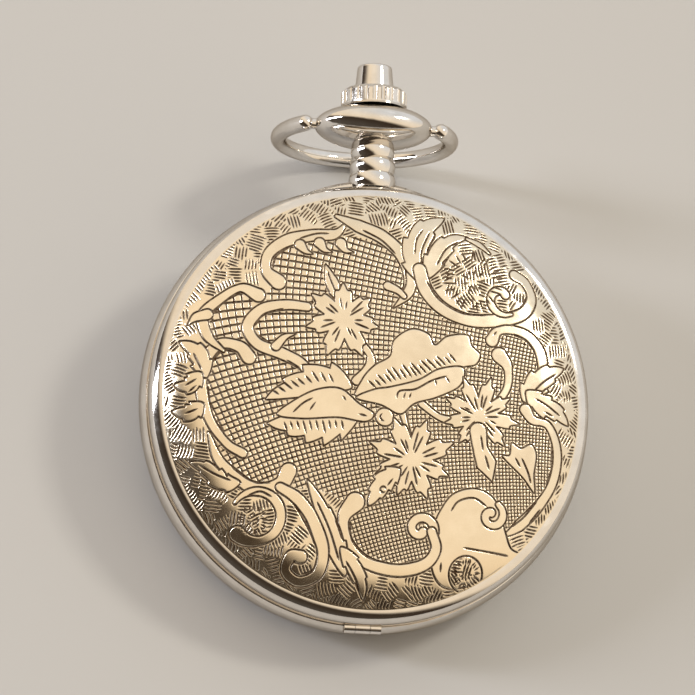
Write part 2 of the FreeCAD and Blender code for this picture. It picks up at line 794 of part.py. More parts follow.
pivot_radius = 0.15
seconds_pivot = 0.2


def jewel_list():
    """(place, pivot radius, low, high) of every jewel."""
    top = plate_bottom + 0.4
    plate_side = [(third_at, pivot_radius, plate_bottom, top), (pallet_at, pivot_radius, plate_bottom, top),
                  (balance_at, pivot_radius, plate_bottom, top), (escape_at, pivot_radius, -0.2, 0.2),
                  (fourth_at, seconds_pivot, -0.2, 0.2)]
    bridge_side = [(at, pivot_radius, train_bridge_bottom, train_bridge_bottom + 0.4)
                   for at in (third_at, fourth_at, escape_at)]
    bridge_side.append((pallet_at, pivot_radius, pallet_cock_bottom, pallet_cock_top))
    bridge_side.append((balance_at, pivot_radius, cock_bottom, cock_bottom + 0.4))
    return plate_side + bridge_side


def jewels():
    return Part.makeCompound([bearing(*jewel) for jewel in jewel_list()])


def jewel_seats():
    return [disc(at, jewel_radius, low, high) for at, pivot, low, high in jewel_list()]


def pivot_holes():
    """Clear holes for the arbors where they pass behind their jewels."""
    return [disc(at, 0.45, train_bridge_bottom - 0.1, train_bridge_top + 0.1)
            for at in (third_at, fourth_at, escape_at)]


def dial_feet():
    return [disc(at, 0.4, plate_top - 0.9, dial_bottom) for at in ((13.2, -6.0), (-13.2, -6.0))]


def main_plate():
    body = disc(centre, movement_radius, plate_bottom, plate_top)
    barrel_room = barrel_module * barrel_teeth / 2 + 0.4
    cuts = [disc(barrel_at, barrel_room, plate_bottom - 1, 0.85), disc(barrel_at, 0.55, 0, 3),
            disc(centre, 1.6, plate_bottom - 1, -0.3), disc(centre, 0.5 + pivot_fit, -2, 3),
            disc(fourth_at, fourth_module * fourth_teeth / 2 + 0.4, plate_bottom - 1, -0.2),
            disc(escape_at, 1.1, plate_bottom - 1, -0.2), disc(fourth_at, 0.4, -1, 3),
            disc(third_at, 0.45, -0.5, 0.0), disc(pallet_at, 0.45, -0.5, 0.0),
            disc(balance_at, 0.45, -0.5, 0.0), disc(escape_at, 0.45, 0.1, 0.5)]
    cuts += [rod(trough_radius, trough_low, trough_high),
             block(-trough_half, trough_half, trough_low, trough_high, 0, 3),
             block(-0.5, 0.5, trough_high - 0.1, 15.9, 0, 3), rod(0.4, 7.3, trough_low + 0.1),
             rod(thin_stem + pivot_fit, trough_high - 0.1, movement_radius + 1)]
    posts = [disc(minute_at, 0.3, plate_top - 0.1, 1.95), disc(setting_at, 0.3, plate_top - 0.1, 1.95),
             disc(lever_pivot, 0.3, plate_top - 0.1, 1.95), disc(yoke_pivot, 0.3, plate_top - 0.1, 1.95),
             disc((8.6, 14.2), 0.3, plate_top - 0.1, 1.95)]
    body = without(body, *cuts, *jewel_seats(), *movement_screws(), *dial_feet(),
                   *[case_screw(at) for at in case_screw_places])
    return joined(body, *posts)


def bridge_room():
    """What every bridge keeps clear of: the balance, the case screws and the cock's foot."""
    rooms = [disc(balance_at, balance_radius + 0.6, -9, 9)]
    rooms += [disc(at, 1.35, -9, 9) for at in case_screw_places]
    return rooms


def barrel_bridge():
    half = block(-20, 20, 1.6, 20, -9, 9)
    slab = disc(centre, bridge_radius, barrel_bridge_bottom, barrel_bridge_top).common(half)
    foot = disc(centre, bridge_radius, barrel_bridge_top, plate_bottom).common(half)
    foot = without(foot, disc(centre, 13.6, -9, 9), disc(barrel_at, 7.8, -9, 9))
    room = [disc(centre, 1.8, -9, 9), disc(barrel_at, 0.85, -9, 9),
            rod(trough_radius, trough_low, trough_high + 9),
            ring(crown_wheel_at, 1.85, 2.85, -9, -1.28), block(-20, -9.2, -20, 3.0, -9, 9)]
    post = disc(click_pivot, 0.3, crown_wheel_low, barrel_bridge_bottom + 0.1)
    body = without(joined(slab, foot), *room, *bridge_room(), *movement_screws(), crown_wheel_screw())
    return joined(body, post)


def train_bridge():
    half = block(-20, 20, -20, 1.4, -9, 9)
    slab = disc(centre, bridge_radius, train_bridge_bottom, train_bridge_top).common(half)
    foot = disc(centre, bridge_radius, train_bridge_top, plate_bottom).common(half)
    foot = without(foot, disc(centre, 12.6, -9, 9), disc(barrel_at, 7.8, -9, 9))
    ratchet_room = winding_module * ratchet_teeth / 2 + 0.6
    room = [disc(barrel_at, ratchet_room, -9, 9), disc(pallet_foot, 1.2, -9, 9),
            block(-20, -9.2, -6.2, 20, -9, 9)]
    body = without(joined(slab, foot), *room, *bridge_room(), *jewel_seats(), *movement_screws(),
                   *pivot_holes(), disc(centre, 0.25 + pivot_fit, -9, 9))
    return body


def balance_cock():
    foot = disc(centre, bridge_radius, cock_bottom, plate_bottom)
    foot = foot.common(block(-20, -13.6, -5.2, 0.9, -9, 9))
    arm = bar(cock_foot, balance_at, 2.6, cock_bottom, cock_top)
    body = without(joined(foot, arm), *movement_screws(), *jewel_seats(),
                   disc(balance_at, 0.45, -9, 9), *[disc(at, 1.35, -9, 9) for at in case_screw_places])
    return body


def pallet_cock():
    arm = bar(pallet_foot, pallet_at, 1.3, pallet_cock_bottom, pallet_cock_top)
    foot = disc(pallet_foot, 0.8, pallet_cock_bottom, plate_bottom)
    return without(joined(arm, foot), *movement_screws(), *jewel_seats())


# ---- going train ----

spring_inner, spring_outer = 1.35, 6.3


def barrel_drum():
    floor = gear(barrel_teeth, barrel_module, barrel_at, -0.75, -0.55,
                 direction(barrel_at, centre))
    wall = ring(barrel_at, 6.45, 6.85, -0.56, 0.55)
    return without(joined(floor, wall), disc(barrel_at, 0.65, -9, 9))


def barrel_cover():
    return ring(barrel_at, 0.65, 6.85, 0.55, 0.75)


def spiral(at, inner, outer, turns, wall, low, high, start=0.0):
    """Flat spiral band: two offset curves closed by short ends."""
    def curve(offset):
        points = []
        for i in range(int(turns * 12) + 1):
            share = i / (turns * 12)
            radius = inner + (outer - inner) * share + offset
            points.append(V(*polar(at, radius, start + share * turns * 360), low))
        line = Part.BSplineCurve()
        line.interpolate(points)
        return line.toShape(), points
    outside, outer_points = curve(wall / 2)
    inside, inner_points = curve(-wall / 2)
    ends = [Part.LineSegment(outer_points[0], inner_points[0]).toShape(),
            Part.LineSegment(outer_points[-1], inner_points[-1]).toShape()]
    wire = Part.Wire(Part.__sortEdges__([outside, ends[1], inside, ends[0]]))
    return Part.Face(wire).extrude(V(0, 0, high - low))


def mainspring():
    return spiral(barrel_at, spring_inner, spring_outer, 8, 0.15, -0.45, 0.45)


def barrel_arbor():
    body = arbor(barrel_at, (0.6, -0.9, 0.8), (1.1, -0.5, 0.5), (0.5, 0.7, 1.3),
                 (0.8, -1.66, -0.85))
    half = ratchet_square / 2
    square = block(barrel_at[0] - half, barrel_at[0] + half, barrel_at[1] - half, barrel_at[1] + half,
                   crown_wheel_low, -1.6)
    return without(joined(body, square), ratchet_screw())


def centre_arbor():
    pinion = gear(centre_pinion_teeth, barrel_module, centre, -0.8, -0.4,
                  meshed_direction(centre_pinion_teeth, barrel_at, centre))
    steps = arbor(centre, (0.4, -1.55, -0.7), (0.25, -2.2, -1.5), (0.5, -0.45, 1.42), (0.35, 1.3, 3.25))
    return joined(pinion, steps)


def centre_wheel():
    wheel = gear(centre_teeth, centre_module, centre, -1.05, -0.85, direction(centre, third_at))
    return without(wheel, spokes(centre, 1.2, 4.6, 5, 0.6, -1.1, -0.8), disc(centre, 0.4, -9, 9))


def third_wheel():
    wheel = gear(third_teeth, third_module, third_at, -1.45, -1.25, direction(third_at, fourth_at))
    wheel = without(wheel, spokes(third_at, 1.1, 3.7, 5, 0.5, -1.5, -1.2))
    pinion = gear(third_pinion_teeth, centre_module, third_at, -1.3, -0.75 - 0.05,
                  meshed_direction(third_pinion_teeth, centre, third_at))
    pivots = arbor(third_at, (pivot_radius, -2.25, -0.45), (0.3, -1.85, -0.9))
    return joined(wheel, pinion, pivots)


def fourth_wheel():
    wheel = gear(fourth_teeth, fourth_module, fourth_at, -0.6, -0.4, direction(fourth_at, escape_at))
    wheel = without(wheel, spokes(fourth_at, 0.9, 3.2, 5, 0.45, -0.7, -0.3, 20))
    pinion = gear(fourth_pinion_teeth, third_module, fourth_at, -1.5, -1.2,
                  meshed_direction(fourth_pinion_teeth, third_at, fourth_at))
    pivots = arbor(fourth_at, (pivot_radius, -2.25, -0.3), (0.3, -1.85, -0.25), (seconds_pivot, -0.3, 2.75))
    return joined(wheel, pinion, pivots)


def escape_wheel():
    points = []
    for i in range(15):
        points.append(polar(escape_at, escape_tip, i * 24.0))
        points.append(polar(escape_at, 1.65, i * 24.0 + 3.0))
        points.append(polar(escape_at, 1.65, i * 24.0 + 16.0))
    wheel = plate_from(points, -1.45, -1.3)
    wheel = without(wheel, spokes(escape_at, 0.6, 1.4, 4, 0.3, -1.5, -1.2))
    pinion = gear(escape_pinion_teeth, fourth_module, escape_at, -0.65, -0.3,
                  meshed_direction(escape_pinion_teeth, fourth_at, escape_at))
    pivots = arbor(escape_at, (pivot_radius, -2.25, 0.15), (0.22, -1.85, -0.25))
    return joined(wheel, pinion, pivots)


def pallet_fork():
    """Lever with a notched tip towards the balance and two stones towards the escape wheel."""
    low, high = -1.45, -1.3
    length = balance_reach - pallet_reach - impulse_radius - 0.2
    lever = bar((0, 0), (length - 0.35, 0), 0.36, low, high)
    tip = plate_from([(length - 0.7, -0.2), (length - 0.35, -0.42), (length, -0.42), (length, 0.42),
                      (length - 0.35, 0.42), (length - 0.7, 0.2)], low, high)
    notch = block(length - 0.35, length + 1, -0.17, 0.17, -9, 9)
    arms = [bar((0, 0), (-0.35, side * 1.4), 0.34, low, high) for side in (1, -1)]
    stones = [block(-0.95, -0.3, side * 1.42 - 0.12, side * 1.42 + 0.12, low, high) for side in (1, -1)]
    body = without(joined(lever, tip, *arms, *stones), notch)
    body = joined(body, arbor((0, 0), (0.24, -1.55, -0.85), (pivot_radius, -1.93, -0.45)))
    body.rotate(V(0, 0, 0), V(0, 0, 1), balance_direction)
    body.translate(V(pallet_at[0], pallet_at[1], 0))
    return body


def balance_wheel():
    rim = ring(balance_at, balance_radius - 0.55, balance_radius, -2.4, -2.0)
    arms = [bar(polar(balance_at, balance_radius - 0.3, a), polar(balance_at, balance_radius - 0.3, a + 180),
                0.6, -2.28, -2.12) for a in (30.0,)]
    weights = [disc(polar(balance_at, balance_radius - 0.27, 30 + i * 45.0), 0.24, -2.5, -1.99)
               for i in range(8) if i % 4]
    hub = disc(balance_at, 0.8, -2.28, -2.12)
    return without(joined(rim, hub, *arms, *weights), disc(balance_at, 0.3, -9, 9))


def balance_staff():
    """Staff with its roller table, impulse pin and hairspring collet."""
    towards = direction(balance_at, pallet_at)
    body = arbor(balance_at, (0.3, -2.8, -0.95), (pivot_radius, -3.3, -0.5), (roller_radius, -1.25, -1.1),
                 (0.5, -2.78, -2.5))
    impulse = disc(polar(balance_at, impulse_radius, towards), 0.12, -1.5, -1.2)
    return joined(body, impulse)


def hairspring():
    coil = spiral(balance_at, 0.75, 3.3, 9, 0.06, -2.75, -2.6)
    stud = disc(polar(balance_at, 3.3, 0.0), 0.14, cock_top, -2.6)
    return Part.makeCompound([coil, stud.cut(coil)])


# ---- motion work, dial and hands ----

def cannon_pinion():
    pinion = gear(cannon_teeth, motion_module, centre, 1.5, 1.7, 90.0)
    return without(joined(pinion, disc(centre, 0.55, 1.45, 3.15)), disc(centre, 0.35, -9, 9))


def minute_wheel():
    wheel = gear(minute_teeth, motion_module, minute_at, 1.5, 1.66, 85.0)
    wheel = without(wheel, spokes(minute_at, 1.0, 2.2, 4, 0.4, 1.4, 1.7, 45))
    pinion = gear(minute_pinion_teeth, hour_module, minute_at, 1.65, 1.95, -90.0)
    return without(joined(wheel, pinion), disc(minute_at, 0.3 + pivot_fit, -9, 9))


def hour_wheel():
    wheel = gear(hour_teeth, hour_module, centre, 1.75, 1.92, 90.0 + 180.0 / hour_teeth)
    pipe = disc(centre, 0.85, 1.75, 2.9)
    return without(joined(wheel, pipe), disc(centre, 0.55 + pivot_fit, -9, 9))


def dial():
    body = disc(centre, movement_radius - 0.1, dial_bottom, dial_bottom + dial_wall)
    face = dial_bottom + dial_wall
    cuts = [disc(centre, 0.85 + 0.2, -9, 9), disc(fourth_at, 0.4, -9, 9),
            disc(fourth_at, register_radius, face - register_depth, face + 1)]
    return joined(without(body, *cuts), *dial_feet())


def hand(at, clock_degrees, length, width, tail, boss, bore, low, high):
    """Leaf-shaped hand, turned clockwise from 12 o'clock."""
    along = 90.0 - clock_degrees
    def place(reach, side):
        base = polar(at, reach, along)
        return polar(base, side, along + 90)
    leaf = plate_from([place(-tail, 0.12), place(-tail, -0.12), place(length * 0.55, -width / 2),
                       place(length, 0.0), place(length * 0.55, width / 2)], low, high)
    return without(joined(leaf, disc(at, boss, low, high)), disc(at, bore, -9, 9))


hour_shown, minute_shown, second_shown = 10, 10, 0


def hour_hand():
    turned = hour_shown * 30.0 + minute_shown * 0.5
    return hand(centre, turned, 9.6, 1.5, 0.5, 1.35, 0.85, 2.75, 2.88)


def minute_hand():
    return hand(centre, minute_shown * 6.0, 14.6, 1.2, 0.5, 1.1, 0.55, 3.0, 3.13)


def seconds_hand():
    return hand(fourth_at, second_shown * 6.0, 3.1, 0.3, 1.0, 0.45, seconds_pivot, 2.58, 2.66)


# ---- how the watch stands: the rim of the back and the foot of the bow touch the table ----

foot_height = bow_wire_radius + bow_foot_reach * math.cos(math.radians(bow_lean))
rim_to_pivot = (bulb_middle + back_round_x, -back_round_z)
lift = math.asin((foot_height - back_round) / math.hypot(*rim_to_pivot))
tilt = math.degrees(lift) - math.degrees(math.atan2(rim_to_pivot[1], rim_to_pivot[0]))
bow_rest = -(90.0 + tilt + bow_lean)


def all_nodes():
    makers = [case_middle, pendant, pendant_sleeve, casing_ring, front_bezel, crystal, crystal_gasket,
              back_cover, lid_shell, lid_knuckle, case_knuckles, hinge_pin, lift_spring, lid_catch, bow,
              crown, winding_stem, push_button, button_rod, button_spring, winding_pinion, clutch_wheel,
              setting_lever, yoke, setting_lever_spring, setting_wheel, crown_wheel, ratchet_wheel,
              ratchet_screw, crown_wheel_screw, click, click_spring, main_plate, barrel_bridge,
              train_bridge, balance_cock, pallet_cock, jewels, barrel_drum, barrel_cover, mainspring,
              barrel_arbor, centre_wheel, centre_arbor, third_wheel, fourth_wheel, escape_wheel,
              pallet_fork, balance_wheel, balance_staff, hairspring, cannon_pinion, minute_wheel,
              hour_wheel, dial, hour_hand, minute_hand, seconds_hand]
    nodes = {maker.__name__: maker() for maker in makers}
    screws = [case_screw(at) for at in case_screw_places] + band_screws()
    nodes["case_screws"] = Part.makeCompound(screws)
    nodes["bridge_screws"] = Part.makeCompound(movement_screws())
    return nodes


def standing(nodes):
    """Tilt every node about X and put the origin under the middle of the whole watch."""
    turn = FreeCAD.Placement(V(0, 0, 0), FreeCAD.Rotation(V(1, 0, 0), tilt))
    outer = ("case_middle", "lid_shell", "back_cover", "bow", "push_button", "pendant", "case_knuckles")
    reach = Part.makeCompound([nodes[name].copy() for name in outer])
    reach.Placement = turn
    box = reach.optimalBoundingBox(False, False)
    move = V(-box.Center.x, -box.Center.y, -box.ZMin)
    place = FreeCAD.Placement(move, FreeCAD.Rotation(V(1, 0, 0), tilt))
    for shape in nodes.values():
        shape.Placement = place.multiply(shape.Placement)
    return place


nodes = all_nodes()
place = standing(nodes)
for name, shape in nodes.items():
    shape.exportStep(f"parts/{name}.step")
    if not shape.isValid() or shape.Volume <= 0:
        print("check", name, shape.isValid(), shape.Volume)
print(len(nodes), "nodes, tilt", round(tilt, 3), "placed at", [round(v, 4) for v in place.Base])
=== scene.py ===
import json
import math
import random

import bmesh
import bpy
import numpy as np
from mathutils import Matrix, Vector


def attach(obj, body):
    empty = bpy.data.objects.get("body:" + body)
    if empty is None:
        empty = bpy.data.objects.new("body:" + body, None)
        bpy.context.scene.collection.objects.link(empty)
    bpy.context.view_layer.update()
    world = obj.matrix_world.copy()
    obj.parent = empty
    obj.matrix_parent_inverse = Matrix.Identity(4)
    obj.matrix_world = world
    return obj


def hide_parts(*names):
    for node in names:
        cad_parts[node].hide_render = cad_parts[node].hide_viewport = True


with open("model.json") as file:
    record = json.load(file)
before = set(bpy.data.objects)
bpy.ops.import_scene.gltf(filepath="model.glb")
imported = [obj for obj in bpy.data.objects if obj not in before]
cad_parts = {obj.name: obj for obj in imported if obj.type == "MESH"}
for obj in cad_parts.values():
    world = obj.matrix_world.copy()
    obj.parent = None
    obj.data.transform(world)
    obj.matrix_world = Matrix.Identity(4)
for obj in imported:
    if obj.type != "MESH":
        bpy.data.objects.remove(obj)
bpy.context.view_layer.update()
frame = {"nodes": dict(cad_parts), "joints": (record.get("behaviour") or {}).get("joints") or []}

# ---- the watch's own frame: X to the right, Y to the pendant, Z out through the lid, millimetres ----
joints = {joint["name"]: joint for joint in frame["joints"]}
across = Vector(joints["lid_open"]["axis"])
to_pendant = Vector(joints["winding_turn"]["axis"])
to_lid = across.cross(to_pendant)
stem_point = Vector(joints["winding_turn"]["pos_m"])
case_point = Vector(joints["centre_turn"]["pos_m"])
heart = case_point + to_lid * (stem_point - case_point).dot(to_lid)
turned = Matrix((across, to_pendant, to_lid)).transposed()
watch_frame = Matrix.Translation(heart) @ turned.to_4x4() @ Matrix.Scale(0.001, 4)
watch_turn = turned.to_euler()

# ---- sizes of the lid, millimetres ----
lid_top = 6.8
dome_radius = 120.0
dome_reach = 17.5
shoulder_radius = 9.0
shoulder_reach = 21.6
cover_radius = 22.9
shoulder_middle = dome_reach - shoulder_radius * dome_reach / dome_radius   # its arc's own middle
edge_middle = (22.68, 3.12)
edge_foot = (22.9, 2.45)
lid_low = 1.1
lip_inner = 22.05
lip_top = 1.5
inner_radius = 22.3
wall = 0.6
plate_wall = 0.25           # engraved plate over the lid's pan
hinge_y, hinge_z = -23.0, 1.0
knuckle_radius = 0.65
knuckle_gap = 0.1
knuckle_half = 0.75
knuckle_end = 1.95

# ---- engraving ----
field_half = 22.4
field_step = 0.04
field_count = int(2 * field_half / field_step)
ground_sink = 0.05
outline_width, outline_depth = 0.19, 0.085
vein_width, vein_depth = 0.22, 0.09
stroke_width, stroke_depth = 0.2, 0.085
lattice_pitch, lattice_width, lattice_depth = 0.49, 0.15, 0.075
stroke_pitch = 0.33
group_spacing, row_step = 1.6, 1.25     # of the border's groups of strokes
innermost_row = 8
ornament_margin = 0.1                   # plain strip round the ornament
edge_roll = 0.16                        # width of the ornament's rounded edge
full_tarnish = 0.08                     # depth of cut that is fully dark


# ---- drawing on the lid ----
def smooth_line(points, closed=False, gap=0.08):
    """A smooth line through the points."""
    knots = np.array(points, float)
    if closed:
        rows = [np.roll(knots, 1, 0), knots, np.roll(knots, -1, 0), np.roll(knots, -2, 0)]
    else:
        ends = np.vstack([2 * knots[0] - knots[1], knots, 2 * knots[-1] - knots[-2]])
        rows = [ends[:-3], ends[1:-2], ends[2:-1], ends[3:]]
    parts = []
    for a, b, c, d in zip(*rows):
        count = max(2, int(np.linalg.norm(c - b) / gap))
        t = np.linspace(0, 1, count, endpoint=False)[:, None]
        parts.append(0.5 * (2 * b + (c - a) * t + (2 * a - 5 * b + 4 * c - d) * t ** 2
                            + (3 * b - a - 3 * c + d) * t ** 3))
    if not closed:
        parts.append(knots[-1:])
    return np.vstack(parts)


def round_points(x, y, radius, turn):
    """Points at a distance and angles from (x, y)."""
    return np.stack([x + radius * np.cos(turn), y + radius * np.sin(turn)], 1)


def side_of(line):
    """Unit vectors to the left of a line."""
    heading = np.gradient(line, axis=0)
    heading /= np.maximum(np.linalg.norm(heading, axis=1), 1e-9)[:, None]
    return np.stack([-heading[:, 1], heading[:, 0]], 1)


def spread(values, count):
    return np.interp(np.linspace(0, 1, count), np.linspace(0, 1, len(values)), values)


def end_cap(at, radius, start):
    turn = start - np.linspace(0, math.pi, 9)[1:-1]
    return round_points(*at, radius, turn)


def ribbon(spine, halves):
    """Outline of a band along a spine, with round ends."""
    line = smooth_line(spine)
    half = spread(halves, len(line))[:, None]
    side = side_of(line)
    left, right = line + side * half, line - side * half
    tail = math.atan2(side[-1][1], side[-1][0])
    head = math.atan2(-side[0][1], -side[0][0])
    return np.vstack([left, end_cap(line[-1], half[-1], tail), right[::-1], end_cap(line[0], half[0], head)])


def toothed_leaf(spine, half, teeth, bite, one_side=False):
    """Outline of a leaf along a spine, with forward-pointing teeth."""
    line = smooth_line(spine)
    t = np.linspace(0, 1, len(line))
    body = half * np.sin(math.pi * t ** 0.75) ** 0.8
    saw = 1 - bite * (1 - (t * teeth) % 1.0)
    side = side_of(line)
    left = line + side * (body * saw)[:, None]
    right = line - side * (body * (0.35 if one_side else saw))[:, None]
    return np.vstack([left, right[::-1]])


def flower(x, y, reach, petals, turn, valley=0.55, seed=1):
    """Outline of a blossom with pointed petals."""
    rand = random.Random(seed)
    stretch = [rand.uniform(0.86, 1.12) for _ in range(petals)]
    angle = np.linspace(0, 2 * math.pi, 40 * petals, endpoint=False)
    place = angle / (2 * math.pi) * petals
    off = np.abs((place % 1.0) * 2 - 1)
    length = np.array([stretch[int(p) % petals] for p in place]) * reach
    crimp = 1 + 0.06 * np.cos(off * 3.2 * math.pi)
    radius = (valley * reach + (length - valley * reach) * (1 - off) ** 0.75) * crimp
    return round_points(x, y, radius, angle + math.radians(turn) - math.pi / petals)


def circle(x, y, radius):
    return round_points(x, y, radius, np.linspace(0, 2 * math.pi, 60, endpoint=False))


def curl(x, y, start_radius, end_radius, start, sweep, count=14):
    """Points of a spiral round (x, y), angles in degrees."""
    turn = np.radians(start + np.linspace(0, sweep, count))
    return round_points(x, y, np.linspace(start_radius, end_radius, count), turn)


def to_cell(value):
    return (value + field_half) / field_step


def filled(outline):
    """Mask of the field's cells inside a closed outline."""
    toggles = np.zeros((field_count, field_count), np.int32)
    ends = np.roll(outline, -1, 0)
    for (x0, y0), (x1, y1) in zip(to_cell(outline), to_cell(ends)):
        if y0 > y1:
            x0, y0, x1, y1 = x1, y1, x0, y0
        rows = np.arange(max(0, math.ceil(y0)), min(field_count, math.ceil(y1)))
        if len(rows):
            columns = np.ceil(x0 + (rows - y0) * (x1 - x0) / (y1 - y0)).astype(int)
            np.add.at(toggles, (rows, np.clip(columns, 0, field_count - 1)), 1)
    return np.cumsum(toggles, axis=1) % 2 == 1


def groove(field, line, width, depth, taper=True):
    """Cuts a groove along a line into the field."""
    line = np.asarray(line, float)
    steps = np.linalg.norm(np.diff(line, axis=0), axis=1)
    length = np.concatenate([[0], np.cumsum(steps)])
    if length[-1] < 0.05:
        return
    at = np.linspace(0, length[-1], max(3, int(length[-1] / 0.03)))
    points = np.stack([np.interp(at, length, line[:, 0]), np.interp(at, length, line[:, 1])], 1)
    fade = np.ones(len(at))
    if taper:
        share = np.minimum(at, length[-1] - at) / min(0.35, length[-1] / 2)
        fade = 0.35 + 0.65 * np.clip(share, 0, 1)
    reach = int(width / 2 / field_step) + 1
    near = np.arange(-reach, reach + 1)
    cells = np.round(to_cell(points)).astype(int)
    columns = np.clip(cells[:, 0, None, None] + near[None, None, :], 0, field_count - 1)
    rows = np.clip(cells[:, 1, None, None] + near[None, :, None], 0, field_count - 1)
    gap_x = columns * field_step - field_half - points[:, 0, None, None]
    gap_y = rows * field_step - field_half - points[:, 1, None, None]
    away = np.hypot(gap_x, gap_y) / (width / 2 * fade[:, None, None])
    value = depth * fade[:, None, None] * np.clip(1 - away ** 2, 0, None)
    rows, columns = np.broadcast_arrays(rows, columns)
    np.maximum.at(field, (rows.ravel(), columns.ravel()), value.ravel())


def softened(mask, reach):
    """Mask blurred over a reach in millimetres."""
    cells = max(1, int(reach / field_step))
    soft = mask.astype(np.float32)
    for axis in (0, 1, 0, 1):
        pad = [(0, 0), (0, 0)]
        pad[axis] = (cells + 1, cells)
        total = np.cumsum(np.pad(soft, pad, mode="edge"), axis=axis)
        size = soft.shape[axis]
        high = np.take(total, np.arange(size) + 2 * cells + 1, axis=axis)
        low = np.take(total, np.arange(size), axis=axis)
        soft = (high - low) / (2 * cells + 1)
    return soft


class Engraving:
    """The lid's picture: ornament over a lattice ground, inside a border of burin strokes."""

    def __init__(self):
        self.lines = np.zeros((field_count, field_count), np.float32)
        self.ornament = np.zeros((field_count, field_count), bool)

    def shape(self, outline, veins=()):
        inside = filled(outline)
        self.lines[inside] = 0
        self.ornament |= inside
        groove(self.lines, np.vstack([outline, outline[:1]]), outline_width, outline_depth, False)
        for vein in veins:
            groove(self.lines, smooth_line(vein), vein_width, vein_depth)

    def band(self, spine, halves, veins=()):
        self.shape(ribbon(spine, halves), veins)

    def leaf(self, spine, half, teeth, bite, veins=(), one_side=False):
        self.shape(toothed_leaf(spine, half, teeth, bite, one_side), veins)

    def patch(self, points, veins=()):
        self.shape(smooth_line(points, closed=True), veins)

    def clear(self, outline):
        """Opens a hole through the ornament, back to the ground or the border."""
        inside = filled(outline)
        self.lines[inside] = 0
        self.ornament &= ~inside
        groove(self.lines, np.vstack([outline, outline[:1]]), outline_width, outline_depth, False)


def ray(work, x, y, low, high, angle, bend, width, depth):
    """A short cut that points away from (x, y)."""
    groove(work.lines, smooth_line([(x + low * math.cos(angle), y + low * math.sin(angle)),
                                    (x + high * math.cos(bend), y + high * math.sin(bend))]), width, depth)


def blossom(work, x, y, reach, petals, turn, seed):
    work.shape(flower(x, y, reach, petals, turn, seed=seed))
    rand = random.Random(seed + 40)
    for petal in range(petals):
        for shift in (-0.13, 0.13):
            angle = math.radians(turn) + 2 * math.pi * petal / petals + shift + rand.uniform(-0.05, 0.05)
            low, high = rand.uniform(0.16, 0.3) * reach, rand.uniform(0.45, 0.72) * reach
            bend = angle + rand.uniform(-0.06, 0.06)
            ray(work, x, y, low, high, angle, bend, vein_width, vein_depth)


def side_veins(work, spine, count, length, lean, start=0.1, end=0.9, side=1):
    """A comb of short veins that starts at a spine."""
    line = smooth_line(spine)
    left = side_of(line)
    for t in np.linspace(start, end, count):
        i = int(t * (len(line) - 1))
        turn = math.radians(lean) * side
        x, y = left[i] * side
        out = np.array([x * math.cos(turn) - y * math.sin(turn), x * math.sin(turn) + y * math.cos(turn)])
        size = length * (0.55 + 0.45 * math.sin(math.pi * t)) * (0.85 + 0.3 * (int(t * 97) % 2))
        root = line[i] + out * 0.12
        groove(work.lines, smooth_line([root, root + out * size * 0.5 + left[i] * 0.03, root + out * size]),
               vein_width, vein_depth)


def sunburst(work, x, y, radius, seed):
    """A round panel filled with short rays."""
    rand = random.Random(seed)
    for low, high, count in ((0.12, 0.42, 9), (0.5, 0.92, 26)):
        for i in range(count):
            angle = 2 * math.pi * (i + rand.uniform(-0.2, 0.2)) / count
            a, b = radius * (low + rand.uniform(0, 0.08)), radius * (high - rand.uniform(0, 0.12))
            bend = angle + rand.uniform(-0.12, 0.12)
            ray(work, x, y, a, b, angle, bend, stroke_width, stroke_depth)


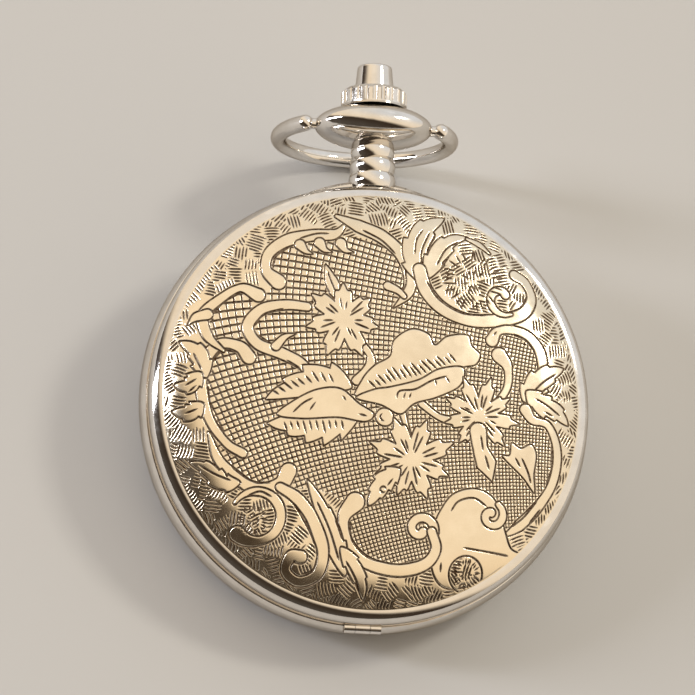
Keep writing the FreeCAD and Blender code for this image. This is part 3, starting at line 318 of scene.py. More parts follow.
def draw_frame(work):
    """Scrolls and acanthus leaves that part the lattice ground from the border."""
    # left: long C with curled ends, and the scroll above it
    work.band([(-13.5, -6.6), (-15.2, -5.6), (-17, -3.2), (-17.9, 0), (-17.6, 2.8), (-16.2, 4.6),
        (-14.2, 4.4), (-13.2, 3.3)], [0.5, 0.45, 0.5, 0.6, 0.6, 0.6, 0.55, 0.75], [[(-15.3, -4.9),
        (-16.7, -2.6), (-17.2, 0.2)], [(-17, 2.5), (-15.9, 3.9), (-14.5, 3.8)]])
    work.band([(-17, -4.6), (-16, -7.2), (-14.2, -8.9), (-12, -10.2), (-9.6, -9.6), (-8.8, -8.2)],
        [0.15, 0.5, 0.6, 0.65, 0.7, 0.85], [[(-14.6, -8), (-12.6, -9.3), (-10.6, -9.5)]])
    work.band([(-12.4, 9.9), (-14.2, 10.6), (-16.2, 9.4), (-17.9, 7.6), (-17.4, 5.4), (-15.8, 3.9)], [0.75,
        0.4, 0.5, 0.6, 0.55, 0.2], [[(-14.2, 10.1), (-15.9, 9), (-17, 7.6)]])
    work.band([(-17.5, 7.7), (-18.6, 7.4), (-19.4, 6.6)], [0.6, 0.5, 0.05])
    # top left arch with its hooks, and the right arch
    work.band([(-10.4, 11.4), (-11.6, 12.6), (-11.4, 14.4), (-9.6, 15.9), (-7, 16.6), (-4.6, 16.9),
        (-3.4, 18.2)], [0.85, 0.5, 0.6, 0.7, 0.65, 0.6, 0.1], [[(-10.9, 12.9), (-10.6, 14.2),
        (-9.2, 15.3)], [(-8.3, 16.2), (-6.6, 16.8), (-5.2, 16.9)]])
    for x, y, lean in ((-8.2, 15.5, -70), (-6.2, 15.8, -75), (-4, 15.9, -80)):
        tip = math.radians(lean)
        work.band([(x, y), (x + 0.9 * math.cos(tip) + 0.3, y + 0.7 * math.sin(tip)), (x + 1.3, y - 0.9)],
            [0.6, 0.35, 0.05])
    work.band([(-4.4, 18.9), (-2.2, 17.9), (0.2, 16.9), (2.2, 15.2), (3.2, 12.9), (2.9, 10.9), (1.5, 9.3)],
        [0.25, 0.7, 0.75, 0.7, 0.7, 0.65, 0.05], [[(-1.8, 17.5), (0.2, 16.5), (1.7, 15.1)], [(2.7, 13.6),
        (2.8, 12), (2.2, 10.7)]])
    work.band([(0.9, 11.6), (1.9, 11.2), (2.6, 10.6)], [0.5, 0.4, 0.3])
    # top right acanthus and the C scroll below it
    work.leaf([(4.3, 12.2), (3.8, 15.2), (4.8, 18), (7, 19.6)], 1.7, 4, 0.28, [[(4.6, 13),
        (4.4, 15.4), (5.3, 17.8)], [(5.1, 13.8), (5, 15.6), (5.9, 17.4)], [(3.7, 15.2), (3.9, 16.8),
        (4.6, 18)]])
    work.leaf([(4.9, 12.6), (6, 15.2), (7.6, 17), (9.4, 17.6)], 1.25, 3, 0.3, [[(6, 14.2),
        (7, 16), (8.4, 17)], [(6.4, 13.8), (7.4, 15.4)]])
    work.band([(4.2, 13.6), (4.9, 11.4), (6.6, 9.6), (9.2, 8.6), (12, 8.7), (15, 9.6), (16.2, 11.4),
        (15.6, 13.2), (14.4, 13.9)], [0.7, 0.75, 0.7, 0.65, 0.7, 0.7, 0.65, 0.5, 0.6], [[(4.9, 12.5),
        (6.2, 10.6), (8.6, 9.3), (11.2, 9.2)], [(13.2, 9.5), (15, 10.4), (15.6, 11.6)]])
    work.band(curl(13, 11.2, 1.9, 0.5, -60, -250), [0.2, 0.4, 0.45, 0.5])
    sunburst(work, 9.9, 12.8, 3.7, 5)
    work.band([(11.7, 16), (10.6, 16.9), (9.3, 17.4)], [0.15, 0.35, 0.2])
    # right leaf scroll
    work.band([(11.9, 6.6), (12.5, 7.6), (13.9, 7.9), (15.7, 7.4), (17, 6), (17.4, 4.4), (17.2, 3.4)],
        [0.7, 0.45, 0.5, 0.55, 0.6, 0.6, 0.5], [[(14.2, 7.5), (15.6, 6.9), (16.6, 5.7)], [(12.1, 7.2),
        (12.4, 7.6)]])
    work.leaf([(15.3, 0.4), (16.3, 1.9), (17.9, 3.4), (19.8, 4.4)], 1.5, 4, 0.3, [[(16.2, 1.3),
        (17.4, 2.6), (18.9, 3.7)], [(17, 1.3), (18, 2.2)]])
    work.leaf([(15.6, 1.6), (17.2, 0.4), (19, -0.4), (20.4, -1.6)], 1.35, 4, 0.3, [[(16.6, 0.9),
        (18, 0.2), (19.4, -0.7)], [(17.6, -0.4), (18.6, -0.8)]])
    work.band([(15.6, -0.4), (16.4, -1.4), (18, -1.8), (19, -3.6), (19.2, -5.8), (18.6, -8.2),
        (17, -10.6), (15, -12.6), (13.6, -13.6)], [0.65, 0.4, 0.45, 0.5, 0.5, 0.5, 0.6, 0.6, 0.1],
        [[(18.5, -3.8), (18.7, -5.8), (18.1, -7.9)], [(17.2, -9.6), (15.8, -11.4), (14.4, -12.6)],
        [(17.6, -10.4), (16.4, -12)]])
    # lower right cartouche with its volutes and round panel
    work.patch([(6.3, -17.4), (6.4, -15), (6.3, -13.1), (6.9, -11.4), (8.2, -9.6), (10.4, -8.9),
        (12.3, -9.6), (13.2, -11.2), (13.9, -13.2), (14.6, -14.6), (15.8, -15.2), (14, -16.4),
        (12.4, -17.6), (10.2, -18.9), (7.6, -19)], [[(8, -11.4), (8.8, -10.3), (10.4, -9.9),
        (11.8, -10.7)], [(9.4, -15), (11.6, -15.2), (14.4, -15.4)], [(7.2, -17.6), (7.2, -16.6)]])
    work.band(curl(4.9, -13.4, 1.5, 0.4, -10, 330), [0.5, 0.5, 0.45, 0.5])
    work.band(curl(12.3, -11.6, 1.4, 0.35, 60, -320), [0.35, 0.45, 0.4, 0.5])
    work.clear(circle(9.9, -17.6, 1.8))
    sunburst(work, 9.9, -17.6, 1.75, 8)
    # bottom band and its leaves
    work.band([(-1.9, -11), (-3, -12.6), (-2.6, -15), (-0.6, -17), (2.6, -17.7), (5.4, -17),
        (6.6, -15.4), (6.1, -13.6)], [1, 0.55, 0.6, 0.65, 0.65, 0.65, 0.55, 0.5], [[(-2.4, -13),
        (-2, -15), (-0.4, -16.5), (2.4, -17.1)]])
    work.leaf([(-2.6, -18.6), (-3.4, -16.2), (-5, -12.6), (-6.9, -8.9)], 1.15, 3, 0.22, [[(-3.3, -17),
        (-4.4, -14), (-5.8, -11.2)], [(-3, -15), (-3.9, -12.8)]])
    work.leaf([(-3.2, -15.6), (-1.9, -17.4), (-0.9, -19.2), (-0.5, -20.8)], 0.95, 3, 0.25, [[(-2.6, -17),
        (-1.6, -18.6), (-1, -20)]])
    # lower left ring and volute
    work.band([(-9.6, -9.9), (-7.8, -11), (-6.2, -13.2), (-5, -16), (-5.4, -18.4), (-7.2, -19.2),
        (-8.6, -18.2), (-8.2, -16.8), (-7.2, -16.8)], [0.5, 0.65, 0.75, 0.7, 0.6, 0.55, 0.5, 0.5, 0.7],
        [[(-8.2, -11.4), (-6.8, -13.2), (-5.8, -15.6)], [(-5.5, -16.6), (-5.9, -18), (-7, -18.5)]])
    work.band(curl(-11.9, -12.9, 2.5, 2.5, 150, -285, 24), [0.2, 0.45, 0.55, 0.5, 0.45, 0.8],
        [[(-12.9, -10.9), (-11.6, -10.4), (-10.4, -10.9)]])
    sunburst(work, -12.2, -13.3, 1.8, 9)
    # outer leaves on the left
    work.leaf([(-17.4, 1), (-18.4, 3.6), (-20.2, 4.9)], 1.2, 3, 0.3, [[(-17.9, 1.8), (-18.8, 3.6)]])
    work.leaf([(-17.9, 1.6), (-19.2, 0.2), (-20.6, 0.3)], 1.1, 3, 0.3, [[(-18.4, 0.9), (-19.5, 0.2)],
        [(-18.4, 0.2), (-19.2, -0.5)]])
    work.leaf([(-17.6, -1.6), (-19, -2.6), (-20.7, -2.4)], 1.1, 3, 0.3, [[(-18.2, -2.2), (-19.4, -2.7)]])
    work.leaf([(-13.6, -9.6), (-15.4, -9.6), (-17.2, -8.2), (-18.8, -7.6)], 1.1, 4, 0.3, [[(-14.6, -9.4),
        (-16.2, -8.8), (-17.8, -7.9)]])


def draw_spray(work):
    """The spray of blossoms and leaves over the lattice."""
    # stems
    work.band([(-7.4, 8.9), (-9.6, 9), (-12, 8.4), (-13.4, 6.6), (-12.4, 4.8), (-10, 3.9),
        (-7.9, 2.9), (-6.9, 1.6)], [0.5, 0.55, 0.6, 0.6, 0.6, 0.65, 0.6, 0.5], [[(-9.8, 8.6), (-11.8, 7.9),
        (-12.7, 6.6)], [(-12.2, 5.6), (-10.6, 4.6)], [(-9.4, 3.2), (-8, 2.4)]])
    work.band([(-10.5, 4.6), (-9.6, 5.6), (-8.5, 6)], [0.5, 0.35, 0.05])
    work.band([(-1.8, 5.4), (-0.8, 4), (-1, 2.6), (-2.2, 1.4)], [0.4, 0.4, 0.6, 0.5])
    work.band([(2.5, -1.2), (3, -2.8), (3.5, -4.4)], [0.4, 0.3, 0.3])
    work.band([(4.6, -0.6), (6.4, -1.8), (8.2, -2.2)], [0.4, 0.35, 0.5])
    work.band([(12.4, -0.2), (13.6, 1.8), (13.6, 3.9), (12.7, 5.1)], [0.4, 0.4, 0.45, 0.85])
    # slim leaf behind the first blossom
    work.leaf([(-3.9, 9.6), (-4.8, 11.4), (-5.6, 13.6)], 0.75, 3, 0.1, [[(-4.3, 10.2), (-4.9, 11.6),
        (-5.4, 12.9)], [(-3.8, 10.4), (-4.2, 11.4)]])
    # two-lobed leaf on the left
    work.leaf([(-2.6, 0.7), (-5.4, 0.9), (-8.4, 0), (-11.4, -1)], -2.5, 4, 0.3, one_side=True)
    side_veins(work, [(-3.8, 1), (-6.4, 0.9), (-8.6, 0.1), (-10.6, -0.8)], 9, 1.3, -30, side=-1)
    work.leaf([(-1.9, -2.4), (-5, -2.6), (-8.2, -2.9), (-11.2, -3.4)], 2.9, 5, 0.32, one_side=True)
    side_veins(work, [(-3, -2.6), (-5.6, -2.7), (-8.2, -2.9), (-10.2, -3.2)], 10, 1.3, 12)
    work.patch([(-10.2, -2.5), (-8.6, -1), (-6.2, 0.3), (-3.8, 0.5), (-1.9, -0.9), (-0.3, -1.9),
        (-1.2, -2.8), (-4, -2.5), (-7.6, -2.8)], [[(-8.6, -2.2), (-7.6, -1.2), (-6.6, -0.6)],
        [(-6.9, -1.9), (-6.3, -1)], [(-3.6, -0.2), (-3.2, -0.7)], [(-1.9, -2), (-1, -2.2)]])
    # rolled leaf in the middle
    work.patch([(-2.1, -0.3), (-1.6, 1.6), (-0.4, 3.1), (1.2, 4.2), (1.6, 5.9), (3.4, 7.2), (5.2, 6.8),
        (5.9, 5.7), (7.2, 6.7), (9.3, 7), (9.8, 5.9), (10.7, 5), (10.2, 3.9), (8.8, 3.5), (6, 2.4),
        (2, 0.4)])
    side_veins(work, [(-1, 0.2), (1.6, 1.4), (4.6, 2.3), (7.4, 3.6), (9.2, 4.3)], 17, 1.5, 22)
    work.patch([(-2.2, -0.4), (-0.4, 0.6), (1.4, 1), (4.2, 1.9), (6.4, 3.2), (8.9, 3.5), (8.6, 1.6),
        (6.2, 0.2), (3.9, -0.6), (2.4, -1.8), (0.4, -1)], [[(2, -0.2), (2.3, 0.6), (3.9, 0.9),
        (5.6, 1.9), (7.2, 2.5)], [(2.9, 0.5), (2.7, -0.2)], [(3.5, 0.5), (3.3, -0.1)], [(6, 2),
        (6.1, 1.5)], [(7.1, 2.4), (7.5, 1.8)]])
    # berry
    work.shape(circle(0.8, -2.2, 0.95), [curl(0.8, -2.2, 0.45, 0.4, 120, 150, 6)])
    # blossoms
    blossom(work, -3.6, 7.8, 4, 7, 92, 3)
    blossom(work, 10.7, -1.5, 3.9, 9, 74, 6)
    work.band([(10.6, -3), (10.9, -4.8), (11.6, -6.4), (12.2, -8)], [0.9, 0.8, 1.1, 0.1],
        [[(10.9, -3.4), (11.2, -5)], [(11.4, -5.4), (11.9, -6.9)]])
    blossom(work, 3.7, -6.4, 4.3, 8, 70, 12)
    work.leaf([(2.6, -7.4), (0.9, -8.9), (-0.6, -11.4)], 1.25, 4, 0.28, [circle(0.9, -9.6, 0.3)[::6],
        [(1.9, -8.4), (1.3, -9.2)]])
    # heart leaf
    work.patch([(15.2, -4.4), (16.3, -3.9), (16.9, -5), (16.7, -7), (16.8, -8.9), (15.4, -7.4),
        (13.2, -5.4), (14, -5.2), (14.2, -3.9)], [[(15.3, -5.4), (16, -6.8), (16.4, -8)],
        [(14.6, -5.4), (15.2, -6.4)]])


def ground_outline():
    """Edge of the lattice ground, under the middle of the frame's scrolls."""
    return smooth_line([(-10.6, 11.6), (-11.4, 13.6), (-9.2, 15.6), (-5.4, 16.4), (-2.6, 16.6),
        (0.2, 16.2), (2.4, 14.4), (3.4, 12.4), (5.2, 11), (7.8, 8.9), (12.8, 8.2), (16.4, 6.9),
        (17.3, 4.4), (15.9, 1.8), (15.4, -0.6), (17.6, -2), (19, -4.6), (18.4, -8), (16, -11.4),
        (13.8, -12.8), (12.4, -10.2), (9, -9.2), (7, -11.2), (5.6, -12.6), (6.2, -15), (4.4, -17),
        (1.4, -17.4), (-1.4, -16.2), (-2.9, -13.4), (-3.2, -11.2), (-5.6, -10), (-8.4, -9.9),
        (-12.6, -9.6), (-15.6, -7), (-17.4, -3.4), (-17.6, 1.6), (-16.4, 4.2), (-17.4, 6.4), (-16.8, 8.6),
        (-14.8, 10.2), (-12.2, 10.3)], closed=True)


def lattice(x, y):
    """Depth of the crossed lines that cover the ground; their grid bends gently over the lid."""
    z = (x + 1j * y) / shoulder_reach
    bent = (z + (0.22 + 0.12j) * z ** 2 - 0.10j * z) * shoulder_reach
    deep = np.zeros_like(x)
    for part in (bent.real, bent.imag):
        away = np.abs((part / lattice_pitch) % 1.0 - 0.5) * lattice_pitch
        deep = np.maximum(deep, lattice_depth * np.clip(1 - (away / (lattice_width / 2)) ** 2, 0, None))
    return deep


def border_strokes(free):
    """Groups of burin strokes that fill the border, each group cut over the ones before it."""
    rand = random.Random(17)
    lines = np.zeros((field_count, field_count), np.float32)
    ring = shoulder_reach - 0.35
    row = 0
    while ring > innermost_row:
        row += 1
        count = int(2 * math.pi * ring / group_spacing)
        for i in range(count):
            angle = 2 * math.pi * (i + 0.5 * (row % 2) + rand.uniform(-0.2, 0.2)) / count
            radius = ring + rand.uniform(-0.25, 0.25)
            x, y = radius * math.cos(angle), radius * math.sin(angle)
            heading = angle + math.radians(rand.choice((48, -48, 25, -70, -25, 75)) + rand.uniform(-12, 12))
            number = rand.choice((4, 5, 6, 6))
            length = rand.uniform(1.25, 1.9)
            bow = rand.uniform(-0.05, 0.05)
            if not free[int(to_cell(y)), int(to_cell(x))]:
                continue
            along = np.array([math.cos(heading), math.sin(heading)])
            beside = np.array([-along[1], along[0]])
            middle = np.array([x, y])
            wide = (number + 0.3) / 2 * stroke_pitch
            room = [middle + along * u * length * 0.56 + beside * v * wide for u, v in
                    ((-1, -1), (1, -1), (1, 1), (-1, 1))]
            lines[filled(np.array(room))] = 0
            for k in range(number):
                root = middle + beside * (k - (number - 1) / 2) * stroke_pitch
                size = length * rand.uniform(0.8, 1.05) / 2
                groove(lines, smooth_line([root - along * size, root + beside * bow, root + along * size]),
                       stroke_width, stroke_depth)
        ring -= row_step
    return lines


def engrave_lid():
    """Height and tarnish fields of the whole lid, in millimetres and 0 to 1."""
    work = Engraving()
    ground = filled(ground_outline())
    draw_frame(work)
    draw_spray(work)
    axis = np.arange(field_count) * field_step - field_half
    x, y = np.meshgrid(axis, axis)
    near = softened(work.ornament, ornament_margin) > 0.04
    lattice_room = ground & ~near
    free = ~ground & ~near
    soft_ground = softened(lattice_room, ornament_margin)
    crossed = lattice(x, y) * np.clip(soft_ground * 1.6 - 0.3, 0, 1)
    strokes = border_strokes(free) * np.clip(softened(free, 0.06) * 2 - 0.8, 0, 1)
    roll = softened(work.ornament, edge_roll)
    rolled = np.clip(2 * (1 - roll), 0, 1) ** 2
    level = np.where(work.ornament, -ground_sink * 0.6 * rolled, -ground_sink * soft_ground)
    cut = np.maximum(np.maximum(work.lines, crossed), strokes)
    fade = np.clip((shoulder_reach - 0.05 - np.hypot(x, y)) / 0.2, 0, 1)
    return (level - cut) * fade, np.clip(cut / full_tarnish, 0, 1) * fade


# ---- the lid's profile ----
def arc_through(start, middle, end, count):
    """Points of the arc through three points."""
    (ax, ay), (bx, by), (cx, cy) = start, middle, end
    d = 2 * (ax * (by - cy) + bx * (cy - ay) + cx * (ay - by))
    a, b, c = ax ** 2 + ay ** 2, bx ** 2 + by ** 2, cx ** 2 + cy ** 2
    ux = (a * (by - cy) + b * (cy - ay) + c * (ay - by)) / d
    uy = (a * (cx - bx) + b * (ax - cx) + c * (bx - ax)) / d
    radius = math.hypot(ax - ux, ay - uy)
    first, last = math.atan2(ay - uy, ax - ux), math.atan2(cy - uy, cx - ux)
    return round_points(ux, uy, radius, np.linspace(first, last, count))


def dome_line(inset, count):
    """Dome and shoulder from the middle out, set in by an inset."""
    slope = math.asin(dome_reach / dome_radius)
    turn = np.linspace(0, slope, count)
    dome = np.stack([(dome_radius - inset) * np.sin(turn),
                     lid_top - dome_radius + (dome_radius - inset) * np.cos(turn)], 1)
    middle_z = lid_top - dome_radius + (dome_radius - shoulder_radius) * math.cos(slope)
    last = math.asin((shoulder_reach - shoulder_middle) / shoulder_radius)
    turn = np.linspace(slope, last, count // 2)[1:]
    shoulder = np.stack([shoulder_middle + (shoulder_radius - inset) * np.sin(turn),
                         middle_z + (shoulder_radius - inset) * np.cos(turn)], 1)
    return np.vstack([dome, shoulder])


def placed(name, data):
    """A new object in the scene."""
    piece = bpy.data.objects.new(name, data)
    bpy.context.scene.collection.objects.link(piece)
    return piece


def plain_mesh(piece):
    """The piece's mesh as its modifiers leave it."""
    bpy.context.view_layer.update()
    return bpy.data.meshes.new_from_object(piece.evaluated_get(bpy.context.evaluated_depsgraph_get()))


def finished(piece, body, finish=None):
    """The piece with its finish, riding on its body."""
    if finish is not None:
        piece.data.materials.append(finish)
    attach(piece, body)
    return piece


def mesh_of(name, points, faces):
    """A mesh object from points in the watch frame."""
    mesh = bpy.data.meshes.new(name)
    mesh.from_pydata([tuple(p) for p in points], [], faces)
    mesh.transform(watch_frame)
    mesh.update()
    return placed(name, mesh)


def turned_piece(name, profile, sectors=360):
    """Closed solid of revolution about the case axis; the profile starts and ends on the axis."""
    profile = [tuple(p) for p in profile]
    points = [(0, 0, profile[0][1])]
    for radius, z in profile[1:-1]:
        for i in range(sectors):
            angle = 2 * math.pi * i / sectors
            points.append((radius * math.cos(angle), radius * math.sin(angle), z))
    points.append((0, 0, profile[-1][1]))
    rows = len(profile) - 2
    faces = []
    for i in range(sectors):
        j = (i + 1) % sectors
        faces.append((0, 1 + i, 1 + j))
        for row in range(rows - 1):
            low, high = 1 + row * sectors, 1 + (row + 1) * sectors
            faces.append((low + i, high + i, high + j, low + j))
        low = 1 + (rows - 1) * sectors
        faces.append((low + j, low + i, len(points) - 1))
    return mesh_of(name, points, faces)


def smoothed(piece, angle=32):
    piece.data.polygons.foreach_set("use_smooth", [True] * len(piece.data.polygons))
    piece.data.set_sharp_from_angle(angle=math.radians(angle))
    return piece


def outwards(piece):
    work = bmesh.new()
    work.from_mesh(piece.data)
    bmesh.ops.recalc_face_normals(work, faces=work.faces)
    work.to_mesh(piece.data)
    work.free()
    return piece


def cross_pin(name, radius, start, end, sides=48):
    """A closed pin along the hinge axis."""
    points, faces = [], []
    for x in (start, end):
        for i in range(sides):
            angle = 2 * math.pi * i / sides
            points.append((x, hinge_y + radius * math.cos(angle), hinge_z + radius * math.sin(angle)))
    for i in range(sides):
        j = (i + 1) % sides
        faces.append((i, j, sides + j, sides + i))
    faces.append(tuple(range(sides))[::-1])
    faces.append(tuple(range(sides, 2 * sides)))
    return outwards(mesh_of(name, points, faces))


def lid_pan():
    """The lid's body: polished edge, lip, inside, and the bed of the engraved plate."""
    bed = dome_line(plate_wall, 80)
    rim = dome_line(0, 80)[-1]
    edge = arc_through(rim, edge_middle, edge_foot, 14)
    inside = dome_line(wall, 80)[:-3]
    side = [(cover_radius, lid_low + 0.12), (cover_radius - 0.04, lid_low + 0.03),
            (cover_radius - 0.12, lid_low), (lip_inner, lid_low), (lip_inner, lip_top),
            (inner_radius, lip_top), (inner_radius, 2.1)]
    profile = [*bed, *edge, *side, *inside[::-1]]
    pan = outwards(turned_piece("lid_pan", profile))
    cuts = [cross_pin("cut_middle", knuckle_radius, -knuckle_half, knuckle_half),
            cross_pin("cut_right", knuckle_radius + knuckle_gap, knuckle_half, knuckle_end),
            cross_pin("cut_left", knuckle_radius + knuckle_gap, -knuckle_end, -knuckle_half)]
    for cut in cuts:
        trim = pan.modifiers.new("trim", "BOOLEAN")
        trim.operation = "DIFFERENCE"
        trim.solver = "EXACT"
        trim.object = cut
    trimmed = plain_mesh(pan)
    pan.modifiers.clear()
    pan.data = trimmed
    for cut in cuts:
        bpy.data.objects.remove(cut)
    return smoothed(pan)


# ---- the engraved plate ----
plate_rings = 400           # rings of faces from the middle to the rim
bed_stride = 8              # the underside is this much coarser


def plate_positions(a, b, quarter, line, along):
    """Where grid points (a, b) of a quarter lie: radius, angle and height on a profile line."""
    ring = np.maximum(a, b)
    share = np.where(ring > 0, np.where(a >= b, b, 2 * ring - a) / np.maximum(2 * ring, 1), 0)
    angle = math.pi / 2 * (share + quarter)
    at = ring / plate_rings * along[-1]
    return np.interp(at, along, line[:, 0]), angle, np.interp(at, along, line[:, 1])


def plate_points(a, b, quarter, inset, field=None):
    line = dome_line(0, 400)
    steps = np.linalg.norm(np.diff(line, axis=0), axis=1)
    along = np.concatenate([[0], np.cumsum(steps)])
    radius, angle, z = plate_positions(a, b, quarter, line, along)
    ahead, _, z_ahead = plate_positions(a + 0.01, b + 0.01, quarter, line, along)
    slope = np.arctan2(z - z_ahead, np.maximum(ahead - radius, 1e-9))
    last_slope = math.asin((shoulder_reach - shoulder_middle) / shoulder_radius)
    slope = np.where(np.maximum(a, b) >= plate_rings, last_slope, slope)
    lift = np.full(radius.shape, -inset)
    if field is not None:
        lift = lift + sampled(field, radius * np.cos(angle), radius * np.sin(angle))
    radius = radius + lift * np.sin(slope)
    z = z + lift * np.cos(slope)
    return np.stack([radius * np.cos(angle), radius * np.sin(angle), z], -1)


def sampled(field, x, y):
    """Value of a field at points, between its cells."""
    column, row = to_cell(x), to_cell(y)
    c, r = np.floor(column).astype(int), np.floor(row).astype(int)
    u, v = column - c, row - r
    c, r = np.clip(c, 0, field_count - 2), np.clip(r, 0, field_count - 2)
    low = field[r, c] * (1 - u) + field[r, c + 1] * u
    high = field[r + 1, c] * (1 - u) + field[r + 1, c + 1] * u
    return low * (1 - v) + high * v


def grid_faces(rows, columns, start, flip):
    i, j = np.meshgrid(np.arange(rows - 1), np.arange(columns - 1), indexing="ij")
    first = start + i * columns + j
    corners = [first, first + columns, first + columns + 1, first + 1]
    quads = np.stack(corners, -1).reshape(-1, 4)
    return quads[:, ::-1] if flip else quads


def border_of(rows, columns, start):
    """Indices round the edge of a grid, in order."""
    grid = start + np.arange(rows * columns).reshape(rows, columns)
    return np.concatenate([grid[0, :-1], grid[:-1, -1], grid[-1, :0:-1], grid[:0:-1, 0]])


def plate_piece(name, quarter, a_range, b_range, height, tarnish):
    """One closed piece of the engraved plate."""
    a, b = np.meshgrid(np.arange(a_range[0], a_range[1] + 1), np.arange(b_range[0], b_range[1] + 1),
                       indexing="ij")
    top = plate_points(a, b, quarter, 0, height)
    bed = plate_points(a[::bed_stride, ::bed_stride], b[::bed_stride, ::bed_stride], quarter, plate_wall)
    points = np.vstack([top.reshape(-1, 3), bed.reshape(-1, 3)])
    start = top.shape[0] * top.shape[1]
    quads = np.vstack([grid_faces(*top.shape[:2], 0, False), grid_faces(*bed.shape[:2], start, True)])
    upper, lower = border_of(*top.shape[:2], 0), border_of(*bed.shape[:2], start)
    walls = []
    for k in range(len(lower)):
        here, after = lower[k], lower[(k + 1) % len(lower)]
        edge = [upper[(k * bed_stride + s) % len(upper)] for s in range(bed_stride + 1)]
        half = bed_stride // 2
        for s in range(bed_stride):
            walls.append((edge[s], edge[s + 1], here if s < half else after))
        walls.append((here, edge[half], after))
    mesh = bpy.data.meshes.new(name)
    loops = np.concatenate([quads.ravel(), np.array(walls).ravel()])
    sizes = np.concatenate([np.full(len(quads), 4), np.full(len(walls), 3)])
    mesh.vertices.add(len(points))
    mesh.vertices.foreach_set("co", points.astype(np.float32).ravel())
    mesh.loops.add(len(loops))
    mesh.loops.foreach_set("vertex_index", loops.astype(np.int32))
    mesh.polygons.add(len(sizes))
    mesh.polygons.foreach_set("loop_start", np.concatenate([[0], np.cumsum(sizes)[:-1]]).astype(np.int32))
    mesh.polygons.foreach_set("loop_total", sizes.astype(np.int32))
    mesh.update(calc_edges=True)
    mesh.validate()
    mesh.transform(watch_frame)
    dark = np.zeros(len(points), np.float32)
    dark[:start] = sampled(tarnish, top[..., 0], top[..., 1]).ravel()
    mesh.attributes.new("tarnish", "FLOAT", "POINT").data.foreach_set("value", dark)
    return smoothed(outwards(placed(name, mesh)), 60)


def engraved_plate(finish):
    """The plate in eight closed pieces, two to a quarter."""
    height, tarnish = engrave_lid()
    half = plate_rings // 2
    for quarter in range(4):
        for letter, rows in (("a", (0, half)), ("b", (half, plate_rings))):
            name = f"engraved_plate_{quarter + 1}{letter}"
            piece = plate_piece(name, quarter, rows, (0, plate_rings), height, tarnish)
            finished(piece, "lid", finish)


# ---- finishes ----
class Finish:
    """A node material that reads the watch's own coordinates, in millimetres."""

    def __init__(self, name):
        self.material = bpy.data.materials.new(name)
        self.material.use_nodes = True
        self.nodes = self.material.node_tree.nodes
        self.links = self.material.node_tree.links
        self.nodes.clear()
        self.shader = self.nodes.new("ShaderNodeBsdfPrincipled")
        out = self.nodes.new("ShaderNodeOutputMaterial")
        self.links.new(self.shader.outputs[0], out.inputs[0])
        self.place = self.nodes.new("ShaderNodeTexCoord").outputs["Object"]

    def set(self, **values):
        for key, value in values.items():
            self.shader.inputs[key.replace("_", " ")].default_value = value
        return self

    def node(self, kind, wires, **settings):
        """Outputs of a new node; its inputs are linked from sockets or set to plain values."""
        made = self.nodes.new("ShaderNode" + kind)
        for key, value in settings.items():
            setattr(made, key, value)
        for key, value in wires.items():
            if isinstance(value, bpy.types.NodeSocket):
                self.links.new(value, made.inputs[key])
            else:
                made.inputs[key].default_value = value
        return made.outputs

    def stretched(self, scale):
        """The piece's coordinates turned into the watch frame and scaled."""
        moved = self.node("Mapping", {"Vector": self.place, "Location": heart, "Rotation": watch_turn},
                          vector_type="TEXTURE")[0]
        return self.node("VectorMath", {0: moved, 1: [1000 * s for s in scale]}, operation="MULTIPLY")[0]

    def noise(self, scale, detail=4.0, rough=0.6):
        return self.node("TexNoise", {"Scale": 1.0, "Detail": detail, "Roughness": rough,
                                      "Vector": self.stretched(scale)})["Fac"]

    def between(self, factor, low, high, from_low=0.35, from_high=0.65):
        """Maps a factor's span onto low to high."""
        return self.node("MapRange", {"Value": factor, "From Min": from_low, "From Max": from_high,
                                      "To Min": low, "To Max": high})["Result"]

    def mixed(self, factor, low, high):
        low, high = ((*tone, 1) if isinstance(tone, tuple) else tone for tone in (low, high))
        return self.node("Mix", {0: factor, 6: low, 7: high}, data_type="RGBA")[2]

    def maths(self, operation, first, second):
        return self.node("Math", {0: first, 1: second}, operation=operation, use_clamp=True)[0]

    def bump(self, height, depth, below=None):
        """Bump of a height from 0 to 1, its depth in millimetres."""
        wires = {"Height": height, "Strength": 1.0, "Distance": depth / 1000}
        if below is not None:
            wires["Normal"] = below
        return self.node("Bump", wires)[0]

    def feed(self, socket, value):
        self.links.new(value, self.shader.inputs[socket])
        return self

    def edges(self, low=0.52, high=0.6):
        """Worn edges, 0 to 1."""
        return self.between(self.node("NewGeometry", {})["Pointiness"], 0, 1, low, high)


def metal(name, light, dark, smooth, rough, grain=(1.5, 1.5, 1.5), scratch=(0.7, 14, 14), depth=0.002,
          tint=(1.0, 1.0, 1.0)):
    """A metal with cloudy tone, fine scratches and rubbed edges."""
    made = Finish(name).set(Metallic=1.0, Specular_Tint=(*tint, 1))
    cloud = made.noise(grain, 5)
    lines = made.noise(scratch, 6, 0.7)
    edge = made.edges()
    tone = made.mixed(made.between(cloud, 0, 1), dark, light)
    lighter = tuple(min(1, c + 0.08) for c in light)
    made.feed("Base Color", made.mixed(made.maths("MULTIPLY", edge, 0.6), tone, lighter))
    hazed = made.maths("ADD", made.between(cloud, smooth, rough),
                       made.between(lines, 0, rough * 0.35, 0.5, 0.75))
    made.feed("Roughness", made.maths("ADD", hazed, made.maths("MULTIPLY", edge, 0.12)))
    made.feed("Normal", made.bump(lines, depth))
    return made.material


